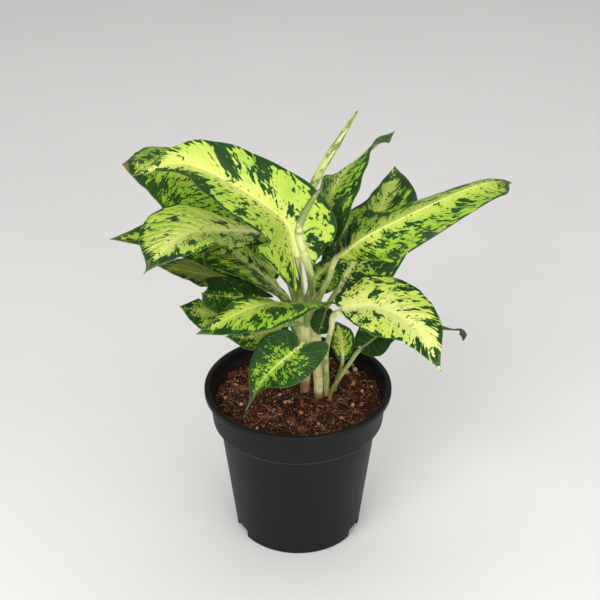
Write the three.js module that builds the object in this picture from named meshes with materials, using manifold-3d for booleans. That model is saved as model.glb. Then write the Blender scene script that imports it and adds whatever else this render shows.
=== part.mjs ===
// A dieffenbachia in a nursery pot: pot, soil, canes, leaves and rolled new leaves.
// Millimetres, +Z up, the origin at the middle of the pot's underside. -Y is the front.
import * as THREE from "three";
import { mergeVertices } from "three/addons/utils/BufferGeometryUtils.js";
import Module from "manifold-3d";

const wasm = await Module();
wasm.setup();

// Pot: a 130 mm (5 inch) nursery pot.
const POT_HEIGHT = 115;
const RIM_RADIUS = 65;
const LIP_HEIGHT = 5;
const LIP_WIDTH = 3.8;
const LIP_ROUNDING = 1;
const COLLAR_TOP_RADIUS = 61.5;
const COLLAR_BOTTOM_RADIUS = 59.5;
const COLLAR_BOTTOM_Z = 89;
const SHOULDER = 1.5;
const WALL_TOP_RADIUS = 55;
const FOOT_RADIUS = 44.5;
const FOOT_ROUNDING = 3;
const FOOT_BULGE = 0.6;
const STEP_ROUNDING = 0.8;
const WALL_THICKNESS = 1.8;
const FLOOR_THICKNESS = 2.4;
const POT_SEGMENTS = 48;

// Drainage notches at the corner of the floor and the wall.
const NOTCH_ANGLES = [25, 155, 205, 335];
const NOTCH_WIDTH = 17;
const NOTCH_HEIGHT = 7;
const NOTCH_INNER_RADIUS = 39;
const NOTCH_OUTER_RADIUS = 52;

// Soil.
const SOIL_Z = 104;
const SOIL_CLEARANCE = 0.4;
const SOIL_RINGS = 9;
const SOIL_SECTORS = 36;
const SOIL_RELIEF = 1.6;
const SOIL_EDGE_DROP = 2;
const SOIL_FOOT_INSET = 2;
// The relief is a sum of waves: strength, waves along x and along y in radians a mm, and shift.
const SOIL_WAVES = [
  [0.5, 0.17, 0.21, 1.7],
  [0.5, 0.17, -0.21, 0.9],
  [0.6, 0.39, -0.31, 0],
  [0.4, 0.47, 0.53, 1.6],
];

// Gap kept between pieces that touch on the plant, and more of it round a shoot in the soil.
const GAP = 0.35;
const SHOOT_GAP = 0.65;

// Canes and rolled leaves: sides of their section, and the length of a step along them.
const CANE_SIDES = 12;
const CANE_STEP = 14;
const SPEAR_SIDES = 8;
const SPEAR_STEP = 11;

// Leaves. The outline's row that lies at the widest place, how its edge swells before and after
// it, and how far rows run forward from the midrib to the edge, as the side veins do.
const BLADE_THICKNESS = 0.9;
const WIDEST_ROW = 0.4;
const LOBE_SWELL = 0.6;
const SHOULDER_SWELL = 0.45;
const TIP_SWELL = 0.28;
const ROW_LEAN = 1.5;
const TIP_HALF_WIDTH = 0.5;
// Columns across half a blade, from the midrib to the edge, and rows along it.
const LARGE_BLADE = { columns: [0.12, 0.55, 1], rows: 12 };
const SMALL_BLADE = { columns: [0.2, 1], rows: 9 };
const LARGE_HALF_WIDTH = 24;
const PETIOLE_STEP = 9;
// The midrib's ridge on the underside, in petiole radii, and what is left of it at the tip.
const RIB_DEPTH = 1.5;
const RIB_THINNING = 0.8;
// Up to this far from the midrib the blade's faces follow the midrib's way up.
const MIDRIB_ZONE = 3;
// Shares of the midrib over which its direction is taken, and of a blade for its slope.
const TANGENT_WINDOW = 0.05;
const SLOPE_ALONG = 0.004;
const SLOPE_ACROSS = 0.05;
// Behind the base the lobes part by this share of the petiole's radius on each side.
const LOBE_CLEARANCE = 0.4;
const LOBE_OPENING = 8;
// How full the outline sets out from the base: a wedge, unless a leaf gives its own base values.
const WEDGE_BASE = [0.1, 0.1];
// The base narrows from the petiole's radius over the first rows, and stays level beside it.
const BASE_NARROWING = 6;
const LEVEL_WIDTH = 1.8;
const LEVEL_MOST = 0.9;
// Where the petiole runs into the midrib: the shares of the joint's ring, and the overlap in radii.
const BASE_INSET = 0.9;
const PETIOLE_END = 0.6;
const PETIOLE_OVERLAP = 1.2;

const POT_BLACK = 0x232325;
const SOIL_BROWN = 0x4a2b1c;
const CANE_CREAM = 0xcfc99a;
const LIME = 0x9fc23c;
const GREEN = 0x5f9a35;
const DARK_GREEN = 0x2f5a2c;
const OLIVE = 0x5a6b2c;

// Canes: points on the axis, each with its radius.
const CANES = {
  cane_left: [
    [5, 8, 55, 3.3],
    [5, 7, 104, 3.4],
    [4.5, 2, 130, 4.4],
    [4, -4, 160, 5.3],
    [4, -5, 184, 4.8],
  ],
  cane_right: [
    [14.5, 2, 55, 3.1],
    [14.5, 1.5, 104, 3.2],
    [13.5, 3, 130, 3.8],
    [11, 5, 160, 4.4],
    [12, 5, 184, 4.2],
  ],
};

// Rolled new leaves: points on the axis, each with its radius.
const SPEARS = {
  spear_tall: [
    [2.5, -2, 185.5, 2.4],
    [0, 8, 212, 2.6],
    [3, 13, 241, 2.8],
    [12, 15, 265, 2.9],
    [25, 17, 289, 2.7],
    [38, 18, 311.5, 0.8],
  ],
  spear_short: [
    [6.5, -6, 186, 2.6],
    [9, -20, 206, 2.8],
    [5, -44, 238, 2.7],
    [1, -50, 256, 2.6],
    [1.5, -51, 266, 2.5],
    [7, -45, 276, 2.2],
    [14, -38, 284, 1],
  ],
};

// Leaves. petiole: its points from the root up to the blade; rib: the midrib's points from the
// blade's base to its tip; face: the way the upper side looks at the base and at the tip; then,
// for the left and the right half seen from above with the tip ahead, the half widths, the reach
// of the basal lobes behind the base as a share of the midrib, the fold up from flat and the curl
// down to the edge in degrees. foldTip: the fold at the tip. widest: where the blade is widest, as
// a share of the midrib; taper: how full the tip is; wave: the edge's rise and its number of waves;
// base: how full each half sets out from the base, from 0.1 for a wedge to 0.9 for a heart.
const LEAVES = {
  leaf_upper_left: {
    petiole: [[2, -8, 181], [1, -11, 194], [0, -20, 211]],
    rib: [[-1, -30, 231], [-12, -19, 255], [-66, -18, 290], [-102, -32, 290]],
    face: [[0.3, -0.2, 0.9], [-0.3, -0.5, 0.8]],
    half: [40, 30], lobe: [0.27, 0.12], fold: [28, 34], foldTip: [24, 30], curl: [6, 8],
    widest: 0.27, taper: 0.05, wave: [1.5, 3], radius: 2.3, colour: LIME,
  },
  leaf_upper_left_behind: {
    petiole: [[1, 0, 178], [-1, 12, 200]],
    rib: [[-9, 26, 220], [-73, 29, 264], [-114, 14, 276]],
    face: [[0, -0.4, 0.9], [0.1, -0.6, 0.8]],
    half: [41, 38], lobe: [0.02, 0.02], fold: [4, -13], foldTip: [4, -13], curl: [32, 46],
    widest: 0.45, taper: 0.4, wave: [1.5, 3], radius: 2, colour: GREEN,
  },
  leaf_middle_left: {
    petiole: [[-1, -3, 180], [-9, -6, 208]],
    rib: [[-24, -8, 238], [-69, -36, 251], [-94, -72, 243]],
    face: [[-0.3, -0.25, 0.9], [-0.2, -0.6, 0.8]],
    half: [35, 34], lobe: [0, 0.02], fold: [24, 7], foldTip: [24, 7], curl: [13, 26],
    widest: 0.46, taper: 0.06, wave: [1.5, 2.5], radius: 1.9, colour: LIME,
  },
  leaf_far_left: {
    petiole: [[1, 0, 168], [-2, 9, 184]],
    rib: [[-12, 16, 195], [-67, 32, 213], [-128, 31, 212]],
    face: [[0, -0.5, 0.9], [0, -0.5, 0.9]],
    half: [23, 24], lobe: [0.02, 0.02], fold: [2, 19], foldTip: [23, 19], curl: [12, 16],
    widest: 0.35, taper: 0.3, wave: [1, 3], radius: 1.7, base: [0.5, 0.1], colour: GREEN,
  },
  leaf_left_olive: {
    petiole: [[0, -2, 152], [-7, 4, 168]],
    rib: [[-16, 13, 182], [-56, 28, 184], [-95, 17, 199]],
    face: [[0.1, 0, 1], [0.2, -0.65, 0.75]],
    half: [21, 26], lobe: [0.1, 0.1], fold: [32, -10], foldTip: [32, -10], curl: [7, 41],
    widest: 0.47, taper: 0.3, wave: [1, 3], radius: 1.7, colour: OLIVE,
  },
  leaf_inner_left: {
    petiole: [[1, -4, 158], [-4, -5, 170]],
    rib: [[-5, -4, 184], [-37, -14, 221], [-62, -4, 221]],
    face: [[0.3, -0.3, 0.9], [0.1, -0.5, 0.9]],
    half: [31, 24], lobe: [0.02, 0.02], fold: [38, -6], foldTip: [33, -6], curl: [9, 35],
    widest: 0.49, taper: 0.3, wave: [1, 3], radius: 1.9, base: [0.1, 0.5], colour: DARK_GREEN,
  },
  leaf_left_dark: {
    petiole: [[2, -4, 138], [-9, -7, 164]],
    rib: [[-20, -12, 190], [-50, -17, 195], [-62, -34, 207]],
    face: [[-0.1, -0.4, 0.9], [-0.3, -0.85, 0.4]],
    half: [22, 18], lobe: [0.1, 0.1], fold: [18, -3], foldTip: [18, -3], curl: [18, 36],
    widest: 0.37, taper: 0.25, wave: [0.8, 3], radius: 1.6, colour: DARK_GREEN,
  },
  leaf_front_left: {
    petiole: [[5, -6, 164], [6, -14, 178]],
    rib: [[5, -20, 191], [-24, -58, 212], [-64, -68, 197]],
    face: [[-0.1, -0.1, 1], [0.1, -0.6, 0.8]],
    half: [30, 16], lobe: [0.22, 0.02], fold: [25, -18], foldTip: [25, 8], curl: [12, 22],
    widest: 0.33, taper: 0.3, wave: [1.2, 3], radius: 1.9, colour: GREEN,
  },
  leaf_small_left: {
    petiole: [[1, -2, 142], [-8, 2, 156]],
    rib: [[-22, 8, 164], [-58, -6, 175], [-79, -8, 182]],
    face: [[-0.1, -0.1, 1], [-0.1, -0.5, 0.85]],
    half: [19, 21], lobe: [0.1, 0.1], fold: [18, -4], foldTip: [18, -4], curl: [18, 36],
    widest: 0.4, taper: 0.3, wave: [0.8, 3], radius: 1.5, colour: DARK_GREEN,
  },
  leaf_low_left: {
    petiole: [[4, -8, 168], [-2, -12, 171]],
    rib: [[-10, -15, 171], [-31, -24, 168], [-48, -27, 170]],
    face: [[0, -0.5, 0.9], [0, -0.5, 0.9]],
    half: [12, 12], lobe: [0.1, 0.1], fold: [17, 15], foldTip: [17, 15], curl: [18, 20],
    widest: 0.38, taper: 0.2, wave: [0.6, 3], radius: 1.4, colour: OLIVE,
  },
  leaf_small_front: {
    petiole: [[4.5, 2, 128], [5, -17, 145], [5, -34, 168]],
    rib: [[2, -45, 175], [-20, -48, 153], [-34, -63, 136]],
    face: [[0.2, -0.9, 0.3], [-0.8, 0, 0.6]],
    half: [19, 20], lobe: [0.25, 0.07], fold: [26, 15], foldTip: [26, 15], curl: [10, 22],
    widest: 0.22, taper: 0.05, wave: [0.8, 3], radius: 1.5, base: [0.7, 0.7], colour: GREEN,
  },
  leaf_right_front: {
    petiole: [[20, 3, 60], [20, 3, 104], [19, -6, 139], [19.5, -12, 153], [22, -20, 171]],
    rib: [[28, -29, 192], [51, -33, 196], [76, -50, 190], [91, -70, 171]],
    face: [[0.1, -0.2, 1], [0.4, -0.6, 0.7]],
    half: [28, 29], lobe: [0.1, 0], fold: [13, 20], foldTip: [13, 20], curl: [21, 18],
    widest: 0.38, taper: 0.25, wave: [1.2, 3], radius: 2, base: [0.5, 0.1], colour: LIME,
  },
  leaf_long_right: {
    petiole: [[12.5, 2.5, 178], [16, -6, 192], [21, -6, 204]],
    rib: [[25, -5, 217], [50, -20, 245], [112, -5, 269], [134, -16, 277]],
    face: [[0.3, -0.7, 0.6], [-0.4, -0.75, 0.5]],
    half: [34, 31], lobe: [0.03, 0], fold: [-45, -17], foldTip: [-72, -70], curl: [22, 25],
    widest: 0.3, taper: 0.7, wave: [1.8, 3], radius: 2.1, colour: LIME,
  },
  leaf_upright: {
    petiole: [[12, 6, 185.5], [12, 14, 197]],
    rib: [[9, 13, 209], [28, 17, 265], [65, 57, 280]],
    face: [[-0.8, -0.35, 0.5], [-0.6, -0.8, -0.2]],
    half: [30, 29], lobe: [0.02, 0], fold: [1, -4], foldTip: [-41, 60], curl: [25, 16],
    widest: 0.37, taper: 0.22, wave: [1.2, 3], radius: 1.9, colour: DARK_GREEN,
  },
  leaf_broad_behind: {
    petiole: [[13, 7, 160], [20, 13, 170]],
    rib: [[28, 19, 181], [52, 49, 213], [65, 43, 261]],
    face: [[0, -0.95, 0.3], [0.45, -0.85, 0.3]],
    half: [33, 34], lobe: [0.1, 0.13], fold: [22, 2], foldTip: [30, 2], curl: [8, 30],
    widest: 0.5, taper: 0.45, wave: [1.2, 3], radius: 2, base: [0.3, 0.5], colour: GREEN,
  },
  leaf_low_right: {
    petiole: [[22, -3, 60], [22, -3, 104], [28, -3, 120], [36, 2, 131]],
    rib: [[44, 8, 139], [69, 14, 152], [115, 20, 146]],
    face: [[0.5, -0.3, 0.8], [0, -0.1, 1]],
    half: [16, 22], lobe: [0.1, 0.05], fold: [14, 35], foldTip: [14, 35], curl: [19, 0],
    widest: 0.33, taper: 0.05, wave: [0.6, 3], radius: 1.5, colour: DARK_GREEN,
  },
  leaf_young_front: {
    petiole: [[12, 3, 163], [17, 0, 175], [19.5, -4, 182]],
    rib: [[19, -9.5, 181], [16.5, -12, 172], [13, -13, 163]],
    face: [[-0.1, -0.9, 0.4], [0, -0.95, 0.3]],
    half: [7, 8], lobe: [0.1, 0.1], fold: [16, 16], foldTip: [10, 10], curl: [10, 14],
    widest: 0.5, taper: 0.9, wave: [0.3, 2], radius: 1.2, base: [0.6, 0.6], colour: DARK_GREEN,
  },
  leaf_young_middle: {
    petiole: [[9.5, 4, 176], [8, 5, 186]],
    rib: [[9, 6, 192], [18, 10, 201], [27, 15, 207]],
    face: [[-0.1, -0.8, 0.6], [0, -0.85, 0.5]],
    half: [6, 15], lobe: [0.1, 0.1], fold: [15, 5], foldTip: [15, 25], curl: [18, 10],
    widest: 0.42, taper: 0.3, wave: [0.3, 2], radius: 1.2, base: [0.4, 0.7], colour: GREEN,
  },
  leaf_young_crinkled: {
    petiole: [[26, 8, 60], [26, 8, 104], [29, 7, 120]],
    rib: [[31, 4, 134], [30, 7, 147], [26, 9, 160]],
    face: [[0, -0.95, 0.3], [0, -0.95, 0.3]],
    half: [8, 9], lobe: [0.14, 0.13], fold: [18, 15], foldTip: [18, 15], curl: [16, 18],
    widest: 0.5, taper: 0.5, wave: [1.2, 2.5], radius: 1.3, colour: GREEN,
  },
};

function material(colour, roughness) {
  return new THREE.MeshStandardMaterial({ color: colour, roughness, metalness: 0 });
}

function meshOf(name, geometry, colour, roughness) {
  geometry.computeVertexNormals();
  const mesh = new THREE.Mesh(geometry, material(colour, roughness));
  mesh.name = name;
  return mesh;
}

function geometryOf(positions, triangles) {
  const geometry = new THREE.BufferGeometry();
  geometry.setAttribute("position", new THREE.Float32BufferAttribute(positions, 3));
  geometry.setIndex(triangles);
  return geometry;
}

function toSolid(geometry) {
  const bare = geometry.clone();
  bare.deleteAttribute("normal");
  bare.deleteAttribute("uv");
  const merged = mergeVertices(bare, 1e-3);
  return new wasm.Manifold(new wasm.Mesh({
    numProp: 3,
    vertProperties: merged.attributes.position.array,
    triVerts: new Uint32Array(merged.index.array),
  }));
}

function toGeometry(solid) {
  const { vertProperties, triVerts } = solid.getMesh();
  return geometryOf(Array.from(vertProperties), Array.from(triVerts));
}

// The largest connected body of a solid: loose scraps of a cut are dropped.
function largestBody(solid) {
  const bodies = solid.decompose();
  return bodies.reduce((a, b) => (b.volume() > a.volume() ? b : a));
}

function vec(p) {
  return new THREE.Vector3(p[0], p[1], p[2]);
}

// A closed body through rings of points, all with the same count, capped at both ends.
function loft(rings) {
  const count = rings[0].length;
  const positions = rings.flat().flatMap((p) => [p.x, p.y, p.z]);
  const triangles = [];
  for (let k = 0; k + 1 < rings.length; k++) {
    for (let i = 0; i < count; i++) {
      const a = k * count + i;
      const b = k * count + ((i + 1) % count);
      // The lower half's quads are split as the upper half's are, seen through the blade.
      if (i < count / 2) triangles.push(a, b, b + count, a, b + count, a + count);
      else triangles.push(a, b, a + count, b, b + count, a + count);
    }
  }
  const ends = [[0, 1], [rings.length - 1, -1]];
  for (const [row, turn] of ends) {
    const centre = positions.length / 3;
    const middle = rings[row].reduce((sum, p) => sum.add(p), new THREE.Vector3()).divideScalar(count);
    positions.push(middle.x, middle.y, middle.z);
    for (let i = 0; i < count; i++) {
      const a = row * count + i;
      const b = row * count + ((i + 1) % count);
      triangles.push(...(turn > 0 ? [centre, b, a] : [centre, a, b]));
    }
  }
  return geometryOf(positions, triangles);
}

// A round body along a curve through points that each hold their radius.
function roundLoft(points, sides, step, grow = 0) {
  const curve = new THREE.CatmullRomCurve3(points.map(vec), false, "catmullrom", 0.5);
  const rows = Math.max(3, Math.round(curve.getLength() / step));
  const rings = [];
  let side = null;
  for (let k = 0; k <= rows; k++) {
    const t = k / rows;
    const place = t * (points.length - 1);
    const i = Math.min(Math.floor(place), points.length - 2);
    const radius = THREE.MathUtils.lerp(points[i][3], points[i + 1][3], place - i) + grow;
    const centre = curve.getPoint(t);
    const along = curve.getTangent(t);
    if (!side) side = new THREE.Vector3(1, 0, 0);
    side.addScaledVector(along, -side.dot(along)).normalize();
    const other = new THREE.Vector3().crossVectors(along, side);
    const ring = [];
    for (let j = 0; j < sides; j++) {
      const turn = (2 * Math.PI * j) / sides;
      ring.push(centre.clone()
        .addScaledVector(side, radius * Math.cos(turn))
        .addScaledVector(other, radius * Math.sin(turn)));
    }
    rings.push(ring);
  }
  return loft(rings);
}

function bezier(t, a, b, c, d) {
  const r = 1 - t;
  return r * r * r * a + 3 * r * r * t * b + 3 * r * t * t * c + t * t * t * d;
}

// A leaf's outline at row s, 0 to 1: the place along the midrib and the share of the half width.
function outline(s, widest, lobe, taper, fullness) {
  if (s < WIDEST_ROW) {
    const t = s / WIDEST_ROW;
    return [
      bezier(t, 0, -2 * lobe, widest - LOBE_SWELL * (widest + lobe), widest),
      bezier(t, 0, fullness, 1, 1),
    ];
  }
  const t = (s - WIDEST_ROW) / (1 - WIDEST_ROW);
  const rest = 1 - widest;
  return [
    bezier(t, widest, widest + SHOULDER_SWELL * rest, 1 - TIP_SWELL * rest, 1),
    bezier(t, 1, 1, taper, 0),
  ];
}

// The row's place on the midrib: the rows run forward to the edge, as the side veins do.
function ribPlace(s) {
  return s ** ROW_LEAN;
}

// The frame on the midrib at u: point, way along, way the upper side looks, way to the right.
function ribFrame(leaf, curve, u) {
  const within = THREE.MathUtils.clamp(u, 0, 1);
  const point = curve.getPoint(within);
  const from = Math.max(0, within - TANGENT_WINDOW);
  const to = Math.min(1, within + TANGENT_WINDOW);
  const tangent = curve.getPoint(to).sub(curve.getPoint(from)).divideScalar(to - from);
  if (u < 0) point.addScaledVector(tangent, u);
  const along = tangent.normalize();
  const up = vec(leaf.face[0]).normalize().lerp(vec(leaf.face[1]).normalize(), within);
  up.addScaledVector(along, -up.dot(along)).normalize();
  return { point, along, up, right: new THREE.Vector3().crossVectors(along, up) };
}

// A point of the blade's middle surface: row s, share t of the way to the edge, side -1 or 1.
function bladePoint(leaf, curve, s, t, side) {
  const { clamp, lerp, degToRad } = THREE.MathUtils;
  const half = side < 0 ? 0 : 1;
  const fullness = (leaf.base ?? WEDGE_BASE)[half];
  const [edgePlace, edgeShare] = outline(s, leaf.widest, leaf.lobe[half], leaf.taper, fullness);
  // Beside the midrib and behind the base a row leaves room for the petiole.
  const behind = clamp(-LOBE_OPENING * edgePlace, 0, LOBE_CLEARANCE);
  const least = leaf.radius * Math.max(1 - BASE_NARROWING * s, Math.sign(behind) + behind);
  const halfWidth = Math.max(edgeShare * leaf.half[half], TIP_HALF_WIDTH, least);
  const level = Math.min(LEVEL_MOST, (LEVEL_WIDTH * leaf.radius) / halfWidth);
  const slant = Math.max(0, (t - level) / (1 - level));
  const place = lerp(ribPlace(s), edgePlace, slant);
  const across = t * halfWidth;
  const frame = ribFrame(leaf, curve, place);
  const fold = lerp(leaf.fold[half], leaf.foldTip[half], clamp(place, 0, 1));
  const turn = degToRad(fold - (leaf.curl[half] * t) / 2);
  const phase = 2 * Math.PI * (leaf.wave[1] * s + 0.25 * half);
  const wave = leaf.wave[0] * t * t * edgeShare * Math.sin(phase);
  return frame.point
    .addScaledVector(frame.right, side * across * Math.cos(turn))
    .addScaledVector(frame.up, across * Math.sin(turn) + wave);
}

// A blade's row as a ring: the upper points from left to right, then the lower ones back.
function bladeRing(leaf, curve, s, columns) {
  const left = columns.map((t) => [t, -1]).reverse();
  const right = columns.map((t) => [t, 1]);
  const frame = ribFrame(leaf, curve, ribPlace(s));
  const ribRadius = leaf.radius * (1 - RIB_THINNING * ribPlace(s));
  const upper = [];
  const lower = [];
  for (const [t, side] of [...left, [0, 1], ...right]) {
    const point = bladePoint(leaf, curve, s, t, side);
    const back = bladePoint(leaf, curve, Math.max(0, s - SLOPE_ALONG), t, side);
    const ahead = bladePoint(leaf, curve, Math.min(1, s + SLOPE_ALONG), t, side);
    const inner = bladePoint(leaf, curve, s, Math.max(0, t - SLOPE_ACROSS), side);
    const outer = bladePoint(leaf, curve, s, Math.min(1, t + SLOPE_ACROSS), side);
    const flow = ahead.sub(back).normalize().add(frame.along);
    const normal = flow.cross(outer.sub(inner)).multiplyScalar(-side).normalize();
    const across = point.distanceTo(frame.point);
    const end = s === 0 || s === 1;
    if (t === 0 || end) normal.copy(frame.up);
    else normal.lerp(frame.up, Math.max(0, 1 - across / MIDRIB_ZONE)).normalize();
    const ridge = RIB_DEPTH * ribRadius * Math.sqrt(Math.max(0, 1 - (across / ribRadius) ** 2));
    upper.push(point.clone().addScaledVector(normal, BLADE_THICKNESS / 2));
    lower.push(point.clone()
      .addScaledVector(normal, -BLADE_THICKNESS / 2)
      .addScaledVector(frame.up, -ridge));
  }
  return [...upper, ...lower.reverse()];
}

// The petiole's rings from its root up to just before the blade.
function petioleRings(leaf, curve, count) {
  const base = ribFrame(leaf, curve, 0);
  const last = vec(leaf.petiole.at(-1));
  const reach = base.point.distanceTo(last);
  const beyond = base.point.clone().addScaledVector(base.along, 2 * reach);
  const path = [...leaf.petiole.map(vec), base.point, beyond];
  const stem = new THREE.CatmullRomCurve3(path, false, "catmullrom", 0.5);
  const end = (path.length - 2) / (path.length - 1);
  const steps = leaf.petiole.slice(1).map((p, i) => vec(p).distanceTo(vec(leaf.petiole[i])));
  const length = steps.reduce((sum, step) => sum + step, reach);
  const rows = Math.max(3, Math.round(length / PETIOLE_STEP));
  const rings = [];
  const along = base.along.clone();
  const up = base.up.clone();
  for (let k = rows - 1; k >= 0; k--) {
    const t = (end * k) / rows;
    const centre = stem.getPoint(t);
    const tangent = stem.getTangent(t);
    up.applyQuaternion(new THREE.Quaternion().setFromUnitVectors(along, tangent));
    along.copy(tangent);
    const right = new THREE.Vector3().crossVectors(along, up);
    const ring = [];
    for (let j = 0; j < count; j++) {
      const turn = Math.PI - (2 * Math.PI * (j + 0.5)) / count;
      ring.push(centre.clone()
        .addScaledVector(right, leaf.radius * Math.cos(turn))
        .addScaledVector(up, leaf.radius * Math.sin(turn)));
    }
    rings.unshift(ring);
  }
  return rings;
}

// A ring drawn in about its middle, and moved.
function shrunkRing(ring, share, shift) {
  const middle = ring.reduce((sum, p) => sum.add(p), new THREE.Vector3()).divideScalar(ring.length);
  return ring.map((p) => p.clone().sub(middle).multiplyScalar(share).add(middle).add(shift));
}

// Blade and petiole fused: the petiole ends inside the base of the midrib.
function leafSolid(leaf) {
  const curve = new THREE.CatmullRomCurve3(leaf.rib.map(vec), false, "catmullrom", 0.5);
  const size = Math.max(...leaf.half) >= LARGE_HALF_WIDTH ? LARGE_BLADE : SMALL_BLADE;
  const rings = [];
  for (let k = 0; k <= size.rows; k++) rings.push(bladeRing(leaf, curve, k / size.rows, size.columns));
  const root = rings[0];
  rings[0] = shrunkRing(root, BASE_INSET, new THREE.Vector3());
  const ahead = ribFrame(leaf, curve, 0).along.multiplyScalar(PETIOLE_OVERLAP * leaf.radius);
  const petiole = [...petioleRings(leaf, curve, root.length), root, shrunkRing(root, PETIOLE_END, ahead)];
  return toSolid(loft(petiole)).add(toSolid(loft(rings)));
}

// Radius of the pot's outer wall between foot and collar.
function wallRadius(z) {
  return THREE.MathUtils.mapLinear(z, 0, COLLAR_BOTTOM_Z, FOOT_RADIUS, WALL_TOP_RADIUS);
}

function potGeometry() {
  const lipBottom = POT_HEIGHT - LIP_HEIGHT;
  const lipInner = RIM_RADIUS - LIP_WIDTH;
  const outer = [
    [0, 0],
    [FOOT_RADIUS - FOOT_ROUNDING, 0],
    [wallRadius(FOOT_ROUNDING) - FOOT_BULGE, FOOT_ROUNDING / 2],
    [wallRadius(2 * FOOT_ROUNDING), 2 * FOOT_ROUNDING],
    [WALL_TOP_RADIUS, COLLAR_BOTTOM_Z - SHOULDER],
    [COLLAR_BOTTOM_RADIUS - STEP_ROUNDING, COLLAR_BOTTOM_Z],
    [COLLAR_BOTTOM_RADIUS, COLLAR_BOTTOM_Z + STEP_ROUNDING],
    [COLLAR_TOP_RADIUS, lipBottom],
    [RIM_RADIUS - LIP_ROUNDING, lipBottom],
    [RIM_RADIUS, lipBottom + LIP_ROUNDING],
    [RIM_RADIUS, POT_HEIGHT - LIP_ROUNDING],
    [RIM_RADIUS - LIP_ROUNDING, POT_HEIGHT],
  ];
  const inner = [
    [lipInner + LIP_ROUNDING, POT_HEIGHT],
    [lipInner, POT_HEIGHT - LIP_ROUNDING],
    [COLLAR_TOP_RADIUS - WALL_THICKNESS, lipBottom - LIP_ROUNDING],
    [COLLAR_BOTTOM_RADIUS - WALL_THICKNESS, COLLAR_BOTTOM_Z + SHOULDER],
    [WALL_TOP_RADIUS - WALL_THICKNESS, COLLAR_BOTTOM_Z - SHOULDER],
    [wallRadius(0) - WALL_THICKNESS, FLOOR_THICKNESS],
    [0, FLOOR_THICKNESS],
  ];
  const profile = [...outer, ...inner].map(([r, z]) => new THREE.Vector2(r, z));
  const body = new THREE.LatheGeometry(profile, POT_SEGMENTS).rotateX(Math.PI / 2);
  let solid = toSolid(body);
  for (const angle of NOTCH_ANGLES) {
    const depth = NOTCH_OUTER_RADIUS - NOTCH_INNER_RADIUS;
    const cutter = new THREE.BoxGeometry(depth, NOTCH_WIDTH, 2 * NOTCH_HEIGHT)
      .translate(NOTCH_INNER_RADIUS + depth / 2, 0, 0)
      .rotateZ(THREE.MathUtils.degToRad(angle));
    solid = solid.subtract(toSolid(cutter));
  }
  return toGeometry(solid);
}

// The inside of the pot, a little smaller, filled up to an uneven top.
function soilRadius(z) {
  const shrink = WALL_THICKNESS + SOIL_CLEARANCE;
  if (z < COLLAR_BOTTOM_Z) return wallRadius(z) - shrink;
  const share = (z - COLLAR_BOTTOM_Z - SHOULDER) / (POT_HEIGHT - LIP_HEIGHT - COLLAR_BOTTOM_Z - SHOULDER);
  return THREE.MathUtils.lerp(COLLAR_BOTTOM_RADIUS, COLLAR_TOP_RADIUS, share) - shrink;
}

function soilHeight(x, y) {
  const r = Math.hypot(x, y) / soilRadius(SOIL_Z);
  const relief = SOIL_WAVES.reduce(
    (sum, [strength, kx, ky, shift]) => sum + strength * Math.sin(kx * x + ky * y + shift), 0);
  return SOIL_Z + (SOIL_RELIEF * relief) / 2 - SOIL_EDGE_DROP * r ** 4;
}

function soilGeometry() {
  const bottom = FLOOR_THICKNESS + SOIL_CLEARANCE;
  const levels = [bottom, COLLAR_BOTTOM_Z - SHOULDER / 2, COLLAR_BOTTOM_Z + SHOULDER * 1.5];
  const positions = [0, 0, bottom];
  const topEdge = soilRadius(SOIL_Z - SOIL_EDGE_DROP);
  const ringAt = (radius, height) => {
    for (let i = 0; i < SOIL_SECTORS; i++) {
      const turn = (2 * Math.PI * i) / SOIL_SECTORS;
      const x = radius * Math.cos(turn);
      const y = radius * Math.sin(turn);
      positions.push(x, y, height ?? soilHeight(x, y));
    }
  };
  for (const z of levels) ringAt(soilRadius(z) - (z === bottom ? SOIL_FOOT_INSET : 0), z);
  for (let k = SOIL_RINGS; k > 0; k--) ringAt((topEdge * k) / SOIL_RINGS);
  const topCentre = positions.length / 3;
  positions.push(0, 0, soilHeight(0, 0));
  const rings = (topCentre - 1) / SOIL_SECTORS;
  const triangles = [];
  for (let i = 0; i < SOIL_SECTORS; i++) {
    const j = (i + 1) % SOIL_SECTORS;
    triangles.push(0, 1 + j, 1 + i);
    for (let k = 0; k + 1 < rings; k++) {
      const a = 1 + k * SOIL_SECTORS;
      const b = a + SOIL_SECTORS;
      triangles.push(a + i, a + j, b + j, a + i, b + j, b + i);
    }
    const last = 1 + (rings - 1) * SOIL_SECTORS;
    triangles.push(last + i, last + j, topCentre);
  }
  return geometryOf(positions, triangles);
}

const plant = new THREE.Group();
plant.add(meshOf("pot", potGeometry(), POT_BLACK, 0.55));

// Room for the canes in the soil and in what grows round them, and for the shoots in the soil.
const caneSockets = Object.values(CANES).map(
  (points) => toSolid(roundLoft(points, CANE_SIDES, CANE_STEP, GAP)));
const rooted = Object.values(LEAVES).filter((leaf) => leaf.petiole[0][2] < SOIL_Z);
const shootSockets = rooted.map((leaf) => {
  const points = leaf.petiole.map((p) => [...p, leaf.radius + SHOOT_GAP]);
  return toSolid(roundLoft(points, CANE_SIDES, PETIOLE_STEP));
});

let soil = toSolid(soilGeometry());
for (const socket of [...caneSockets, ...shootSockets]) soil = soil.subtract(socket);
plant.add(meshOf("soil", toGeometry(soil), SOIL_BROWN, 0.95));

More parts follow.
